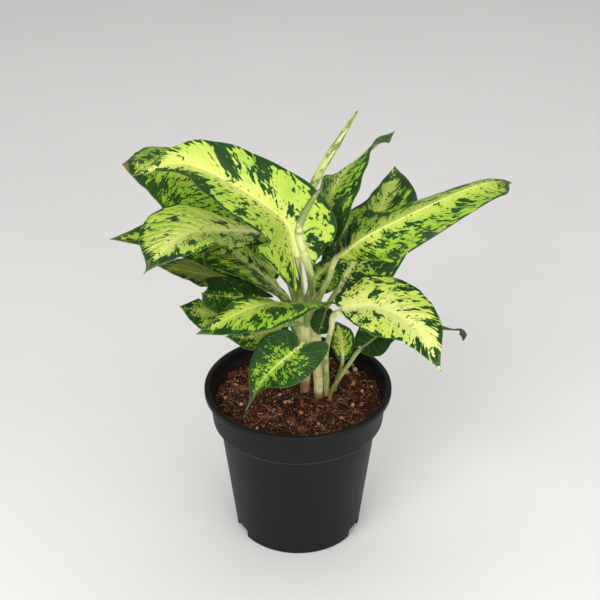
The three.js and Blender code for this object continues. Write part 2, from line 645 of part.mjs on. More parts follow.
for (const [name, points] of Object.entries(CANES)) {
  plant.add(meshOf(name, roundLoft(points, CANE_SIDES, CANE_STEP), CANE_CREAM, 0.6));
}
for (const [name, points] of Object.entries(SPEARS)) {
  plant.add(meshOf(name, roundLoft(points, SPEAR_SIDES, SPEAR_STEP), LIME, 0.5));
}
for (const [name, leaf] of Object.entries(LEAVES)) {
  let solid = leafSolid(leaf);
  for (const socket of caneSockets) solid = solid.subtract(socket);
  plant.add(meshOf(name, toGeometry(largestBody(solid)), leaf.colour, 0.45));
}

export default plant;
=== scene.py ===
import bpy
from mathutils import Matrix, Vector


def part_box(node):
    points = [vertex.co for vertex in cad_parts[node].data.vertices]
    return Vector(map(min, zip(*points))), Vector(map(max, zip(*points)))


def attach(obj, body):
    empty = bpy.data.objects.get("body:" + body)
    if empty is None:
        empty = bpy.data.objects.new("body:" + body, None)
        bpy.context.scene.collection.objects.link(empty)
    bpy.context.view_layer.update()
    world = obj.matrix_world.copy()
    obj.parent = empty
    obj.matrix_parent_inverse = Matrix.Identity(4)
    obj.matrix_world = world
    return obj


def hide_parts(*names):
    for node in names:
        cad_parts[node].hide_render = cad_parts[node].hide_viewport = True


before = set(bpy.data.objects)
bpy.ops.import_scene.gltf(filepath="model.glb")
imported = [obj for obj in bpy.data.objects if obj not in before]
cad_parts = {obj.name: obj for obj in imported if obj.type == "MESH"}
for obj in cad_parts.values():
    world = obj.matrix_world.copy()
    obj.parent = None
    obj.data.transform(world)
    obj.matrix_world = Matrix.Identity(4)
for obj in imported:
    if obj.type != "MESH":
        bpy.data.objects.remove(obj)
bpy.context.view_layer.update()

import math
import random

import bpy
import numpy as np
from bpy.props import FloatProperty, FloatVectorProperty, IntProperty, PointerProperty
from mathutils import Vector, noise

bl_info = {
    "name": "Potted dieffenbachia",
    "version": (1, 0, 0),
    "blender": (4, 5, 0),
    "location": "View3D > Sidebar > Plant",
    "description": "Builds a variegated foliage plant in a nursery pot round its solids",
    "category": "Object",
}

MM = 0.001

# ---------------------------------------------------------------- the plant's numbers

# Pot.
POT_HEIGHT = 115
RIM_RADIUS = 65
LIP_HEIGHT = 5
LIP_WIDTH = 3.8
COLLAR_TOP_RADIUS = 61.5
COLLAR_BOTTOM_RADIUS = 59.5
COLLAR_BOTTOM_Z = 89
COLLAR_SLOPE = 0.0952
WALL_TOP_RADIUS = 55
FOOT_RADIUS = 44.5
WALL_THICKNESS = 1.8
FLOOR_THICKNESS = 2.4
CORNER_RADIUS = 1.3
CRISP_ANGLE = 40
NOTCH_ANGLES = (25, 155, 205, 335)
NOTCH_WIDTH = 17
NOTCH_HEIGHT = 7
NOTCH_INNER_RADIUS = 39
NOTCH_OUTER_RADIUS = 52

# Soil.
SOIL_Z = 104
SOIL_RADIUS = 58.6
SOIL_EDGE_DROP = 2
SOIL_FLOOR_Z = 3.0
SOIL_WAVES = (
    (0.5, 0.17, 0.21, 1.7),
    (0.5, 0.17, -0.21, 0.9),
    (0.6, 0.39, -0.31, 0.0),
    (0.4, 0.47, 0.53, 1.6),
)

# Seeds of the random draws, and a full turn as those draws take it.
LITTER_SEED, CANE_SEED, WITHERED_SEED, LEAF_SEED = 7, 40, 77, 1000
TURN = 6.28

# Canes and rolled leaves: points on the axis, each with its radius.
CANES = {
    "cane_left": [
        (5, 8, 55, 3.3), (5, 7, 104, 3.4), (4.5, 2, 130, 4.4), (4, -4, 160, 5.3), (4, -5, 184, 4.8),
    ],
    "cane_right": [
        (14.5, 2, 55, 3.1), (14.5, 1.5, 104, 3.2), (13.5, 3, 130, 3.8), (11, 5, 160, 4.4),
        (12, 5, 184, 4.2),
    ],
}
SPEARS = {
    "spear_tall": [
        (2.5, -2, 185.5, 2.4), (0, 8, 212, 2.6), (3, 13, 241, 2.8), (12, 15, 265, 2.9),
        (25, 17, 289, 2.7), (38, 18, 311.5, 0.8),
    ],
    "spear_short": [
        (6.5, -6, 186, 2.6), (9, -20, 206, 2.8), (5, -44, 238, 2.7), (1, -50, 256, 2.6),
        (1.5, -51, 266, 2.5), (7, -45, 276, 2.2), (14, -38, 284, 1),
    ],
}
# The dry end of the low right leaf's tail: points, each with half width and half thickness.
WITHERED_END = [
    (109, 19.4, 147.2, 0.5, 0.5), (112, 19.6, 147.2, 0.6, 0.6), (114, 19.4, 145.8, 1.6, 1.0),
    (115.2, 19.2, 143.4, 2.7, 1.3), (115.4, 19, 140.8, 1.6, 0.9), (115, 19, 138.2, 0.3, 0.3),
]

# Feed beads: x, y, size. Chips of husk: x, y, size, how stained.
BEADS = (
    (35, 31, 2.3), (41, 34.5, 2.0), (39, 44, 2.2), (-39.4, -10.5, 1.2), (38, -10.5, 1.5),
    (-27.6, -39.2, 1.2), (45, 8.2, 1.3), (52, 13, 1.0), (-12.6, 2, 1.3), (14, -33, 1.0),
    (-22, 30, 1.2), (6, -46, 1.0), (28, -44, 1.0), (-10, 50, 1.2),
)
CHIPS = (
    (-6.9, -8.3, 5.0, 0.1), (2.1, -18.5, 3.0, 0.4), (-50, 0.6, 4.2, 0.95), (-44, 16, 2.6, 0.8),
    (24, 52, 3.2, 0.6), (-13, 1, 2.4, 0.8), (30, -26, 2.6, 0.9), (-26, -22, 2.8, 0.95),
)
GRIT_COUNT = 150

# Leaves. petiole: points from the root to the blade; rib: the midrib's points from base to tip;
# face: the way the upper side looks at base and tip; then for the left and right half, seen from
# above with the tip ahead: half width, basal lobe, fold, fold at the tip and curl. widest, taper:
# the outline's place of greatest width and fullness of tip; wave: the edge's rise and its waves;
# radius: the midrib's at the base; base: how wide the blade starts.
LEAVES = {
    "leaf_upper_left": dict(
        petiole=[(2, -8, 181), (1, -11, 194), (0, -20, 211)],
        rib=[(-1, -30, 231), (-12, -19, 255), (-66, -18, 290), (-102, -32, 290)],
        face=((0.3, -0.2, 0.9), (-0.3, -0.5, 0.8)),
        half=(40, 30), lobe=(0.27, 0.12), fold=(28, 34), foldTip=(24, 30), curl=(6, 8),
        widest=0.27, taper=0.05, wave=(1.5, 3), radius=2.3, base=(0.1, 0.1)),
    "leaf_upper_left_behind": dict(
        petiole=[(1, 0, 178), (-1, 12, 200)],
        rib=[(-9, 26, 220), (-73, 29, 264), (-114, 14, 276)],
        face=((0, -0.4, 0.9), (0.1, -0.6, 0.8)),
        half=(41, 38), lobe=(0.02, 0.02), fold=(4, -13), foldTip=(4, -13), curl=(32, 46),
        widest=0.45, taper=0.4, wave=(1.5, 3), radius=2, base=(0.1, 0.1)),
    "leaf_middle_left": dict(
        petiole=[(-1, -3, 180), (-9, -6, 208)],
        rib=[(-24, -8, 238), (-69, -36, 251), (-94, -72, 243)],
        face=((-0.3, -0.25, 0.9), (-0.2, -0.6, 0.8)),
        half=(35, 34), lobe=(0, 0.02), fold=(24, 7), foldTip=(24, 7), curl=(13, 26),
        widest=0.46, taper=0.06, wave=(1.5, 2.5), radius=1.9, base=(0.1, 0.1)),
    "leaf_far_left": dict(
        petiole=[(1, 0, 168), (-2, 9, 184)],
        rib=[(-12, 16, 195), (-67, 32, 213), (-128, 31, 212)],
        face=((0, -0.5, 0.9), (0, -0.5, 0.9)),
        half=(23, 24), lobe=(0.02, 0.02), fold=(2, 19), foldTip=(23, 19), curl=(12, 16),
        widest=0.35, taper=0.3, wave=(1, 3), radius=1.7, base=(0.5, 0.1)),
    "leaf_left_olive": dict(
        petiole=[(0, -2, 152), (-7, 4, 168)],
        rib=[(-16, 13, 182), (-56, 28, 184), (-95, 17, 199)],
        face=((0.1, 0, 1), (0.2, -0.65, 0.75)),
        half=(21, 26), lobe=(0.1, 0.1), fold=(32, -10), foldTip=(32, -10), curl=(7, 41),
        widest=0.47, taper=0.3, wave=(1, 3), radius=1.7, base=(0.1, 0.1)),
    "leaf_inner_left": dict(
        petiole=[(1, -4, 158), (-4, -5, 170)],
        rib=[(-5, -4, 184), (-37, -14, 221), (-62, -4, 221)],
        face=((0.3, -0.3, 0.9), (0.1, -0.5, 0.9)),
        half=(31, 24), lobe=(0.02, 0.02), fold=(38, -6), foldTip=(33, -6), curl=(9, 35),
        widest=0.49, taper=0.3, wave=(1, 3), radius=1.9, base=(0.1, 0.5)),
    "leaf_left_dark": dict(
        petiole=[(2, -4, 138), (-9, -7, 164)],
        rib=[(-20, -12, 190), (-50, -17, 195), (-62, -34, 207)],
        face=((-0.1, -0.4, 0.9), (-0.3, -0.85, 0.4)),
        half=(22, 18), lobe=(0.1, 0.1), fold=(18, -3), foldTip=(18, -3), curl=(18, 36),
        widest=0.37, taper=0.25, wave=(0.8, 3), radius=1.6, base=(0.1, 0.1)),
    "leaf_front_left": dict(
        petiole=[(5, -6, 164), (6, -14, 178)],
        rib=[(5, -20, 191), (-24, -58, 212), (-64, -68, 197)],
        face=((-0.1, -0.1, 1), (0.1, -0.6, 0.8)),
        half=(30, 16), lobe=(0.22, 0.02), fold=(25, -18), foldTip=(25, 8), curl=(12, 22),
        widest=0.33, taper=0.3, wave=(1.2, 3), radius=1.9, base=(0.1, 0.1)),
    "leaf_small_left": dict(
        petiole=[(1, -2, 142), (-8, 2, 156)],
        rib=[(-22, 8, 164), (-58, -6, 175), (-79, -8, 182)],
        face=((-0.1, -0.1, 1), (-0.1, -0.5, 0.85)),
        half=(19, 21), lobe=(0.1, 0.1), fold=(18, -4), foldTip=(18, -4), curl=(18, 36),
        widest=0.4, taper=0.3, wave=(0.8, 3), radius=1.5, base=(0.1, 0.1)),
    "leaf_low_left": dict(
        petiole=[(4, -8, 168), (-2, -12, 171)],
        rib=[(-10, -15, 171), (-31, -24, 168), (-48, -27, 170)],
        face=((0, -0.5, 0.9), (0, -0.5, 0.9)),
        half=(12, 12), lobe=(0.1, 0.1), fold=(17, 15), foldTip=(17, 15), curl=(18, 20),
        widest=0.38, taper=0.2, wave=(0.6, 3), radius=1.4, base=(0.1, 0.1)),
    "leaf_small_front": dict(
        petiole=[(4.5, 2, 128), (5, -17, 145), (5, -34, 168)],
        rib=[(2, -45, 175), (-20, -48, 153), (-34, -63, 136)],
        face=((0.2, -0.9, 0.3), (-0.8, 0, 0.6)),
        half=(19, 20), lobe=(0.25, 0.07), fold=(26, 15), foldTip=(26, 15), curl=(10, 22),
        widest=0.22, taper=0.05, wave=(0.8, 3), radius=1.5, base=(0.7, 0.7)),
    "leaf_right_front": dict(
        petiole=[(20, 3, 60), (20, 3, 104), (19, -6, 139), (19.5, -12, 153), (22, -20, 171)],
        rib=[(28, -29, 192), (51, -33, 196), (76, -50, 190), (91, -70, 171)],
        face=((0.1, -0.2, 1), (0.4, -0.6, 0.7)),
        half=(28, 29), lobe=(0.1, 0), fold=(13, 20), foldTip=(13, 20), curl=(21, 18),
        widest=0.38, taper=0.25, wave=(1.2, 3), radius=2, base=(0.5, 0.1)),
    "leaf_long_right": dict(
        petiole=[(12.5, 2.5, 178), (16, -6, 192), (21, -6, 204)],
        rib=[(25, -5, 217), (50, -20, 245), (112, -5, 269), (134, -16, 277)],
        face=((0.3, -0.7, 0.6), (-0.4, -0.75, 0.5)),
        half=(34, 31), lobe=(0.03, 0), fold=(-45, -17), foldTip=(-72, -70), curl=(22, 25),
        widest=0.3, taper=0.7, wave=(1.8, 3), radius=2.1, base=(0.1, 0.1)),
    "leaf_upright": dict(
        petiole=[(12, 6, 185.5), (12, 14, 197)],
        rib=[(9, 13, 209), (28, 17, 265), (65, 57, 280)],
        face=((-0.8, -0.35, 0.5), (-0.6, -0.8, -0.2)),
        half=(30, 29), lobe=(0.02, 0), fold=(1, -4), foldTip=(-41, 60), curl=(25, 16),
        widest=0.37, taper=0.22, wave=(1.2, 3), radius=1.9, base=(0.1, 0.1)),
    "leaf_broad_behind": dict(
        petiole=[(13, 7, 160), (20, 13, 170)],
        rib=[(28, 19, 181), (52, 49, 213), (65, 43, 261)],
        face=((0, -0.95, 0.3), (0.45, -0.85, 0.3)),
        half=(33, 34), lobe=(0.1, 0.13), fold=(22, 2), foldTip=(30, 2), curl=(8, 30),
        widest=0.5, taper=0.45, wave=(1.2, 3), radius=2, base=(0.3, 0.5)),
    "leaf_low_right": dict(
        petiole=[(22, -3, 60), (22, -3, 104), (28, -3, 120), (36, 2, 131)],
        rib=[(44, 8, 139), (69, 14, 152), (115, 20, 146)],
        face=((0.5, -0.3, 0.8), (0, -0.1, 1)),
        half=(16, 22), lobe=(0.1, 0.05), fold=(14, 35), foldTip=(14, 35), curl=(19, 0),
        widest=0.33, taper=0.05, wave=(0.6, 3), radius=1.5, base=(0.1, 0.1)),
    "leaf_young_front": dict(
        petiole=[(12, 3, 163), (17, 0, 175), (19.5, -4, 182)],
        rib=[(19, -9.5, 181), (16.5, -12, 172), (13, -13, 163)],
        face=((-0.1, -0.9, 0.4), (0, -0.95, 0.3)),
        half=(7, 8), lobe=(0.1, 0.1), fold=(16, 16), foldTip=(10, 10), curl=(10, 14),
        widest=0.5, taper=0.9, wave=(0.3, 2), radius=1.2, base=(0.6, 0.6)),
    "leaf_young_middle": dict(
        petiole=[(9.5, 4, 176), (8, 5, 186)],
        rib=[(9, 6, 192), (18, 10, 201), (27, 15, 207)],
        face=((-0.1, -0.8, 0.6), (0, -0.85, 0.5)),
        half=(6, 15), lobe=(0.1, 0.1), fold=(15, 5), foldTip=(15, 25), curl=(18, 10),
        widest=0.42, taper=0.3, wave=(0.3, 2), radius=1.2, base=(0.4, 0.7)),
    "leaf_young_crinkled": dict(
        petiole=[(26, 8, 60), (26, 8, 104), (29, 7, 120)],
        rib=[(31, 4, 134), (30, 7, 147), (26, 9, 160)],
        face=((0, -0.95, 0.3), (0, -0.95, 0.3)),
        half=(8, 9), lobe=(0.14, 0.13), fold=(18, 15), foldTip=(18, 15), curl=(16, 18),
        widest=0.5, taper=0.5, wave=(1.2, 2.5), radius=1.3, base=(0.1, 0.1)),
}

# How each leaf looks. dark: share of dark tissue; yellow: how far its pale tissue goes to yellow;
# depth: how dark and olive the whole leaf is, from its age and as painted shade on
# leaves that sit in shade; marks: the large dark patches, each (row, share of the way to the edge,
# - left or + right, radius); clear: the same for places free of dark tissue. burn: how withered
# its tip is; stalk: how pale its petiole is; foot: how brown the petiole's foot.
LOOKS = {
    "leaf_upper_left": dict(
        dark=0.16, yellow=0.75, depth=0.0,
        marks=[
            (0.65, 0.75, 5.5), (0.65, 0.5, 5), (0.65, 0.25, 4), (0.55, 0.8, 5.5), (0.55, 0.6, 4),
            (0.55, 0.35, 3), (0.66, -0.85, 6), (0.55, -0.75, 4), (0.7, -0.7, 6), (0.8, 0.6, 2.5),
            (0.45, 0.25, 2.5), (0.3, 0.45, 3), (0.25, 0.7, 3.5), (0.4, 0.95, 3), (0.2, -0.7, 5),
            (0.76, -0.9, 5), (0.88, -0.9, 4),
        ],
        clear=[(0.72, 0.45, 8), (0.5, 0.6, 3), (0.4, -0.4, 6), (0.85, 0.8, 7), (0.78, 0.85, 6)],
    ),
    "leaf_upper_left_behind": dict(
        dark=0.27, yellow=0.3, depth=0.24, burn=0.6,
        marks=[
            (0.85, -0.9, 4), (0.75, -0.85, 5), (0.95, -0.5, 4), (0.7, -0.6, 3), (0.55, -0.6, 3),
            (0.9, 0.3, 3), (0.8, 0.45, 3), (0.7, 0.6, 3),
        ],
    ),
    "leaf_middle_left": dict(
        dark=0.14, yellow=0.75, depth=0.0,
        marks=[
            (0.65, -0.6, 2.5), (0.8, -0.8, 4), (0.95, 0.1, 5), (0.4, -0.35, 3), (0.5, 0.6, 3),
            (0.35, 0.25, 2.5), (0.9, -0.5, 4), (0.2, -0.6, 4), (0.3, -0.7, 2.5),
        ],
    ),
    "leaf_far_left": dict(dark=0.36, yellow=0.2, depth=0.35),
    "leaf_left_olive": dict(dark=0.12, yellow=0.3, depth=0.9),
    "leaf_inner_left": dict(
        dark=0.32, yellow=0.6, depth=0.0,
        marks=[
            (0.65, -0.85, 3), (0.55, -0.85, 3), (0.75, 0, 3), (0.9, 0.3, 3), (0.6, -0.3, 3.5),
            (0.45, -0.35, 4), (0.4, -0.6, 4), (0.45, -0.95, 4), (0.55, 0.15, 3), (0.4, 0.25, 3),
        ],
    ),
    "leaf_left_dark": dict(dark=0.95, yellow=0.3, depth=0.3),
    "leaf_front_left": dict(
        dark=0.16, yellow=0.32, depth=0.14,
        marks=[
            (0.5, 0.85, 5), (0.6, 0.85, 4), (0.65, -0.6, 4.5), (0.55, -0.5, 5), (0.45, -0.65, 5),
            (0.35, -0.8, 4.5), (0.15, -0.9, 4), (0.8, -0.85, 3), (0.95, 0, 3), (0.25, -0.6, 4),
        ],
    ),
    "leaf_small_left": dict(
        dark=0.24, yellow=0.5, depth=0.12, burn=0.5, marks=[(0.9, 0, 5), (0.7, -0.9, 4)],
    ),
    "leaf_low_left": dict(dark=0.2, yellow=0.6, depth=0.3, marks=[(0.75, 0, 6), (0.9, 0, 6)]),
    "leaf_small_front": dict(
        dark=0.56, yellow=0.0, depth=0.22,
        marks=[
            (0.05, 0.8, 5), (0.15, 0.95, 5), (0.3, 0.95, 4.5), (0.45, 0.95, 4), (0.6, 0.95, 3),
            (0.75, 0.8, 2.5), (0.9, 0, 4), (0.05, -0.8, 6), (0.15, -0.9, 6), (0.3, -0.95, 5),
            (0.45, -0.95, 3), (0.6, -0.95, 2.5), (0.1, -0.4, 3), (0.12, 0.5, 3),
        ],
    ),
    "leaf_right_front": dict(
        dark=0.12, yellow=1.08, depth=0.0, stalk=1.7,
        marks=[
            (0.45, -0.8, 4.5), (0.4, -0.4, 3), (0.25, -0.95, 4), (0.15, -0.8, 3), (0.5, 0.35, 2.5),
            (0.25, 0.35, 2.5), (0.4, 0.65, 3), (0.7, -0.75, 3.5), (0.8, 0.6, 3.5), (0.9, 0.1, 3),
            (0.95, -0.5, 3.5),
        ],
    ),
    "leaf_long_right": dict(
        dark=0.26, yellow=0.42, depth=0.12, stalk=1.4,
        marks=[
            (0.2, -0.6, 5), (0.4, -0.85, 5), (0.6, -0.9, 4), (0.85, -0.7, 4), (0.5, 0.2, 3.5),
            (0.45, 0.35, 3), (0.55, 0.8, 4.5), (0.45, 0.75, 3.5), (0.7, 0.4, 3.5), (0.3, -0.5, 4),
            (0.5, -0.55, 4), (0.7, -0.5, 3.5), (0.95, -0.3, 4), (0.65, 0.6, 2.5),
            (0.55, -0.7, 3), (0.4, -0.8, 4), (0.25, -0.25, 3), (0.3, 0.5, 4), (0.65, -0.85, 3),
            (0.75, -0.75, 4),
        ],
    ),
    "leaf_upright": dict(
        dark=0.4, yellow=0.3, depth=0.08,
        marks=[
            (0.45, 0.5, 6), (0.35, 0.85, 7), (0.2, 0.8, 6), (0.5, 0.85, 3.5), (0.3, 0.4, 5),
            (0.95, 0, 4),
        ],
    ),
    "leaf_broad_behind": dict(
        dark=0.24, yellow=0.45, depth=0.0,
        marks=[
            (0.95, -0.2, 4), (0.8, 0.9, 4.5), (0.65, 0.9, 4.5), (0.8, -0.9, 3.5), (0.7, -0.9, 3.5),
            # The broad marks in the lower half, rows 0.15 to 0.45, are painted shade from the long
            # right leaf.
            (0.75, 0.5, 4), (0.4, 0.4, 7), (0.35, 0.8, 8), (0.25, 0.9, 8), (0.45, 0.8, 7),
            (0.25, 0.3, 7), (0.15, 0.1, 6), (0.3, -0.5, 7), (0.2, -0.3, 7),
        ],
    ),
    "leaf_low_right": dict(dark=1.5, yellow=0.1, depth=0.5, foot=0.9),
    "leaf_young_front": dict(dark=1.4, yellow=0.0, depth=0.35),
    "leaf_young_middle": dict(dark=0.5, yellow=0.2, depth=0.3),
    "leaf_young_crinkled": dict(dark=0.4, yellow=0.4, depth=0.2, foot=0.3),
}

# The leaf's shape, as in the solids.
WIDEST_ROW = 0.4
LOBE_SWELL = 0.6
SHOULDER_SWELL = 0.45
TIP_SWELL = 0.28
ROW_LEAN = 1.5
TIP_HALF_WIDTH = 0.5
RIB_DEPTH = 1.5
RIB_THINNING = 0.8
TANGENT_WINDOW = 0.05
LOBE_CLEARANCE = 0.4
LOBE_OPENING = 8
BASE_NARROWING = 6
LEVEL_WIDTH = 1.8
LEVEL_MOST = 0.9
LARGE_HALF_WIDTH = 24
YOUNG_HALF_WIDTH = 16

# What the leaf has beyond its solid: rows and columns, and the finer relief.
LARGE_GRID = (110, 24)
SMALL_GRID = (56, 13)
COLUMN_EASE = 1.3
RIPPLE_WAVES = (5.3, 8.1, 11.7)
SMALL_RIPPLE = 0.5
EDGE_THINNESS, EDGE_WIDTH = 0.35, 1.5
RIB_RISE, RIB_SINK = 0.16, 0.9
MARK_STRENGTH, CLEARING_STRENGTH = 0.85, 0.5
SMALL_PATTERN, YOUNG_PATTERN = 1.3, 1.8
PETIOLE_SIDES = 16
PETIOLE_STEP = 2.5
PETIOLE_SINK_LENGTH = 9.0
PETIOLE_FOOT_SWELL = 0.14
PETIOLE_CHANNEL = 0.16
# UVs hold millimetres divided by this.
UV_SCALE = 100

# Colours of small features.
# OLIVE_SHADE and STALK_SHADE darken leaves and stalks for their age and as painted shade.
OLIVE_SHADE = (0.46, 0.42, 0.1)
SHADED_MIDRIB = (0.34, 0.36, 0.12)
EDGE_HAIRLINE = (0.4, 0.5, 0.2)
UNDERSIDE = (0.14, 0.24, 0.03)
WITHERED_TIP = (0.24, 0.12, 0.045)
STALK_SHADE = (0.45, 0.5, 0.35)
STALK_FOOT = (0.3, 0.15, 0.045)
CANE_STREAK = (0.93, 0.84, 0.58)
CANE_STAIN = (0.3, 0.21, 0.1)
CORK = (0.36, 0.2, 0.1)
ROLL_PALE, ROLL_CREAM = (0.52, 0.6, 0.15), (0.66, 0.7, 0.34)
ROLL_PATCH, ROLL_EDGE = (0.13, 0.22, 0.04), (0.05, 0.15, 0.025)
SCRATCH = (0.035, 0.035, 0.035)
# Painted highlight along the step under the pot's collar.
STEP_HIGHLIGHT = (0.07, 0.068, 0.07)
WARM_CRUMB = (0.24, 0.1, 0.05)
HUSK, HUSK_STAIN = (0.52, 0.27, 0.15), (0.3, 0.13, 0.07)
DRY_TISSUE, DRY_STAIN = (0.05, 0.065, 0.018), (0.035, 0.025, 0.01)


# ---------------------------------------------------------------- settings


def tint_property(name, description, default):
    """A colour that a user would change."""
    return FloatVectorProperty(
        name=name, description=description, default=default, size=3, subtype="COLOR", min=0, max=1)


def length_property(name, description, default):
    """A length in metres that a user would change."""
    return FloatProperty(name=name, description=description, default=default, unit="LENGTH")


def watts_property(name, default):
    """The power of a light."""
    return FloatProperty(name=name, description="In watts", default=default, min=0)


class PlantPotSettings(bpy.types.PropertyGroup):
    """The nursery pot."""

    height: length_property(
        "Height", "From the underside to the top of the rim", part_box("pot")[1][2])
    segments: IntProperty(
        name="Segments", description="Steps round the pot", default=180, min=24)
    colour: tint_property("Plastic", "The moulded plastic", (0.0053, 0.005, 0.0053))
    dust: tint_property("Dust", "Soil dust inside the rim", (0.16, 0.085, 0.048))


class PlantSoilSettings(bpy.types.PropertyGroup):
    """The coco peat and what lies in it."""

    # Painted shade and light: the peat body goes to dark in its hollows and to light on its tops.
    dark: tint_property("Dark peat", "The hollows between the crumbs", (0.0045, 0.0018, 0.001))
    light: tint_property("Pale peat", "The tops of the crumbs", (0.58, 0.2, 0.075))
    fibre: tint_property("Fibre", "Coir fibres and chips", (0.42, 0.23, 0.12))
    bead: tint_property("Bead", "Pale feed beads and grit", (0.64, 0.42, 0.25))
    crumbs: IntProperty(name="Crumbs", description="Number of peat crumbs", default=8500, min=0)
    fibres: IntProperty(name="Fibres", description="Number of coir fibres", default=200, min=0)


class PlantStemSettings(bpy.types.PropertyGroup):
    """Canes, petioles and rolled leaves."""

    cream: tint_property("Cream", "Pale stems", (0.8, 0.75, 0.36))
    green: tint_property("Green", "Green cast of the stems", (0.25, 0.37, 0.05))
    brown: tint_property("Bark", "Corky brown at the canes' feet", (0.2, 0.1, 0.045))
    ring_step: length_property("Ring spacing", "Between two leaf scars on a cane", 0.015)


class PlantLeafSettings(bpy.types.PropertyGroup):
    """The variegated blades."""

    lime: tint_property("Lime", "Pale tissue near the edge", (0.27, 0.5, 0.024))
    yellow: tint_property("Yellow", "Pale tissue near the midrib", (0.56, 0.65, 0.085))
    half_tone: tint_property("Half tone", "Rim of the dark patches", (0.115, 0.3, 0.022))
    dark: tint_property("Dark green", "The dark patches", (0.012, 0.046, 0.009))
    midrib: tint_property("Midrib", "The midrib's upper side", (0.78, 0.8, 0.31))
    thickness: length_property("Thickness", "Of the blade between its veins", 0.0005)
    vein_step: length_property(
        "Vein spacing", "Between two side veins, along the midrib", 0.0062)
    vein_relief: length_property(
        "Vein relief", "How far the blade swells between two veins", 0.00022)
    ripple: length_property("Ripple", "Small waves of the edge", 0.0011)


class PlantStageSettings(bpy.types.PropertyGroup):
    """Floor, lights and camera."""

    floor: tint_property("Floor", "The floor's colour", (0.86, 0.85, 0.835))
    key: watts_property("Key light", 12.9)
    fill: watts_property("Fill light", 7.0)
    front: watts_property("Front light", 7.0)
    top: watts_property("Top light", 5.0)
    sky: FloatProperty(name="Sky", description="Strength of the even light", default=0.43, min=0)
    lens: FloatProperty(
        name="Lens", description="Focal length in millimetres", default=90.0, min=10)


# ---------------------------------------------------------------- node helpers


class Net:
    """Places nodes in a tree and wires them up."""

    def __init__(self, tree):
        self.tree = tree

    def node(self, kind, **values):
        made = self.tree.nodes.new(kind)
        for name, value in values.items():
            setattr(made, name, value)
        return made

    def put(self, socket, value):
        """Links a socket or sets a value; a colour may come without its alpha."""
        if isinstance(value, bpy.types.NodeSocket):
            self.tree.links.new(value, socket)
        elif value is not None:
            if hasattr(value, "__len__") and len(value) == 3 and socket.type == "RGBA":
                value = (*value, 1)
            socket.default_value = value

    def fill(self, made, **values):
        """Puts a value in each named input, with _ for a space, and gives the outputs."""
        for name, value in values.items():
            self.put(made.inputs[name.replace("_", " ")], value)
        return made.outputs

    def math(self, operation, a, b=None, c=None, clamp=False):
        made = self.node("ShaderNodeMath", operation=operation, use_clamp=clamp)
        for socket, value in zip(made.inputs, (a, b, c)):
            self.put(socket, value)
        return made.outputs[0]

    def plus(self, a, b, clamp=False):
        return self.math("ADD", a, b, clamp=clamp)

    def minus(self, a, b):
        return self.math("SUBTRACT", a, b)

    def times(self, a, b):
        return self.math("MULTIPLY", a, b)

    def over(self, a, b):
        return self.math("DIVIDE", a, b)

    def times_plus(self, a, b, c, clamp=False):
        return self.math("MULTIPLY_ADD", a, b, c, clamp)

    def smooth(self, value, low, high, to_low=0.0, to_high=1.0):
        """Runs softly from to_low to to_high as the value runs from low to high."""
        made = self.node("ShaderNodeMapRange", interpolation_type="SMOOTHSTEP")
        return self.fill(made, Value=value, From_Min=low, From_Max=high,
                         To_Min=to_low, To_Max=to_high)["Result"]

    def noise(self, vector, scale, detail=3.0, roughness=0.55, distortion=0.0):
        return self.fill(self.node("ShaderNodeTexNoise"), Vector=vector, Scale=scale,
                         Detail=detail, Roughness=roughness, Distortion=distortion)["Fac"]

    def mix(self, share, a, b, blend="MIX"):
        """Colour a with a share of b; sockets 6, 7 and 2 are those of colours."""
        made = self.node("ShaderNodeMix", data_type="RGBA", blend_type=blend)
        self.put(made.inputs["Factor"], share)
        self.put(made.inputs[6], a)
        self.put(made.inputs[7], b)
        return made.outputs[2]

    def separate(self, vector):
        made = self.node("ShaderNodeSeparateXYZ")
        self.put(made.inputs[0], vector)
        return made.outputs

    def combine(self, x=0.0, y=0.0, z=0.0):
        return self.fill(self.node("ShaderNodeCombineXYZ"), X=x, Y=y, Z=z)[0]

    def scaled(self, vector, scale):
        made = self.node("ShaderNodeVectorMath", operation="MULTIPLY")
        self.put(made.inputs[0], vector)
        made.inputs[1].default_value = scale
        return made.outputs[0]

    def group(self, tree, **values):
        return self.fill(self.node("ShaderNodeGroup", node_tree=tree), **values)

    def mottle(self, vector, patch_scale, grain_scale, spread):
        return self.group(mottle_group(), Vector=vector, Patch_Scale=patch_scale,
                          Grain_Scale=grain_scale, Spread=spread)

    def object_place(self):
        return self.node("ShaderNodeTexCoord").outputs["Object"]

    def uv(self, name):
        return self.separate(self.node("ShaderNodeUVMap", uv_map=name).outputs[0])[:2]

    def tones(self):
        """The four masks that a piece carries at its points."""
        made = self.node("ShaderNodeVertexColor", layer_name="tone")
        parts = self.node("ShaderNodeSeparateColor")
        self.put(parts.inputs[0], made.outputs["Color"])
        return parts.outputs[0], parts.outputs[1], parts.outputs[2], made.outputs["Alpha"]


def shared_group(name, inputs, build):
    """The node group of this name, made once. An input whose default is None is a vector."""
    if name not in bpy.data.node_groups:
        tree = bpy.data.node_groups.new(name, "ShaderNodeTree")
        for label, default in inputs.items():
            kind = "NodeSocketVector" if default is None else "NodeSocketFloat"
            socket = tree.interface.new_socket(label, in_out="INPUT", socket_type=kind)
            if default is not None:
                socket.default_value = default
        net = Net(tree)
        results = build(net, net.node("NodeGroupInput").outputs)
        for label in results:
            tree.interface.new_socket(label, in_out="OUTPUT", socket_type="NodeSocketFloat")
        net.fill(net.node("NodeGroupOutput"), **results)
    return bpy.data.node_groups[name]


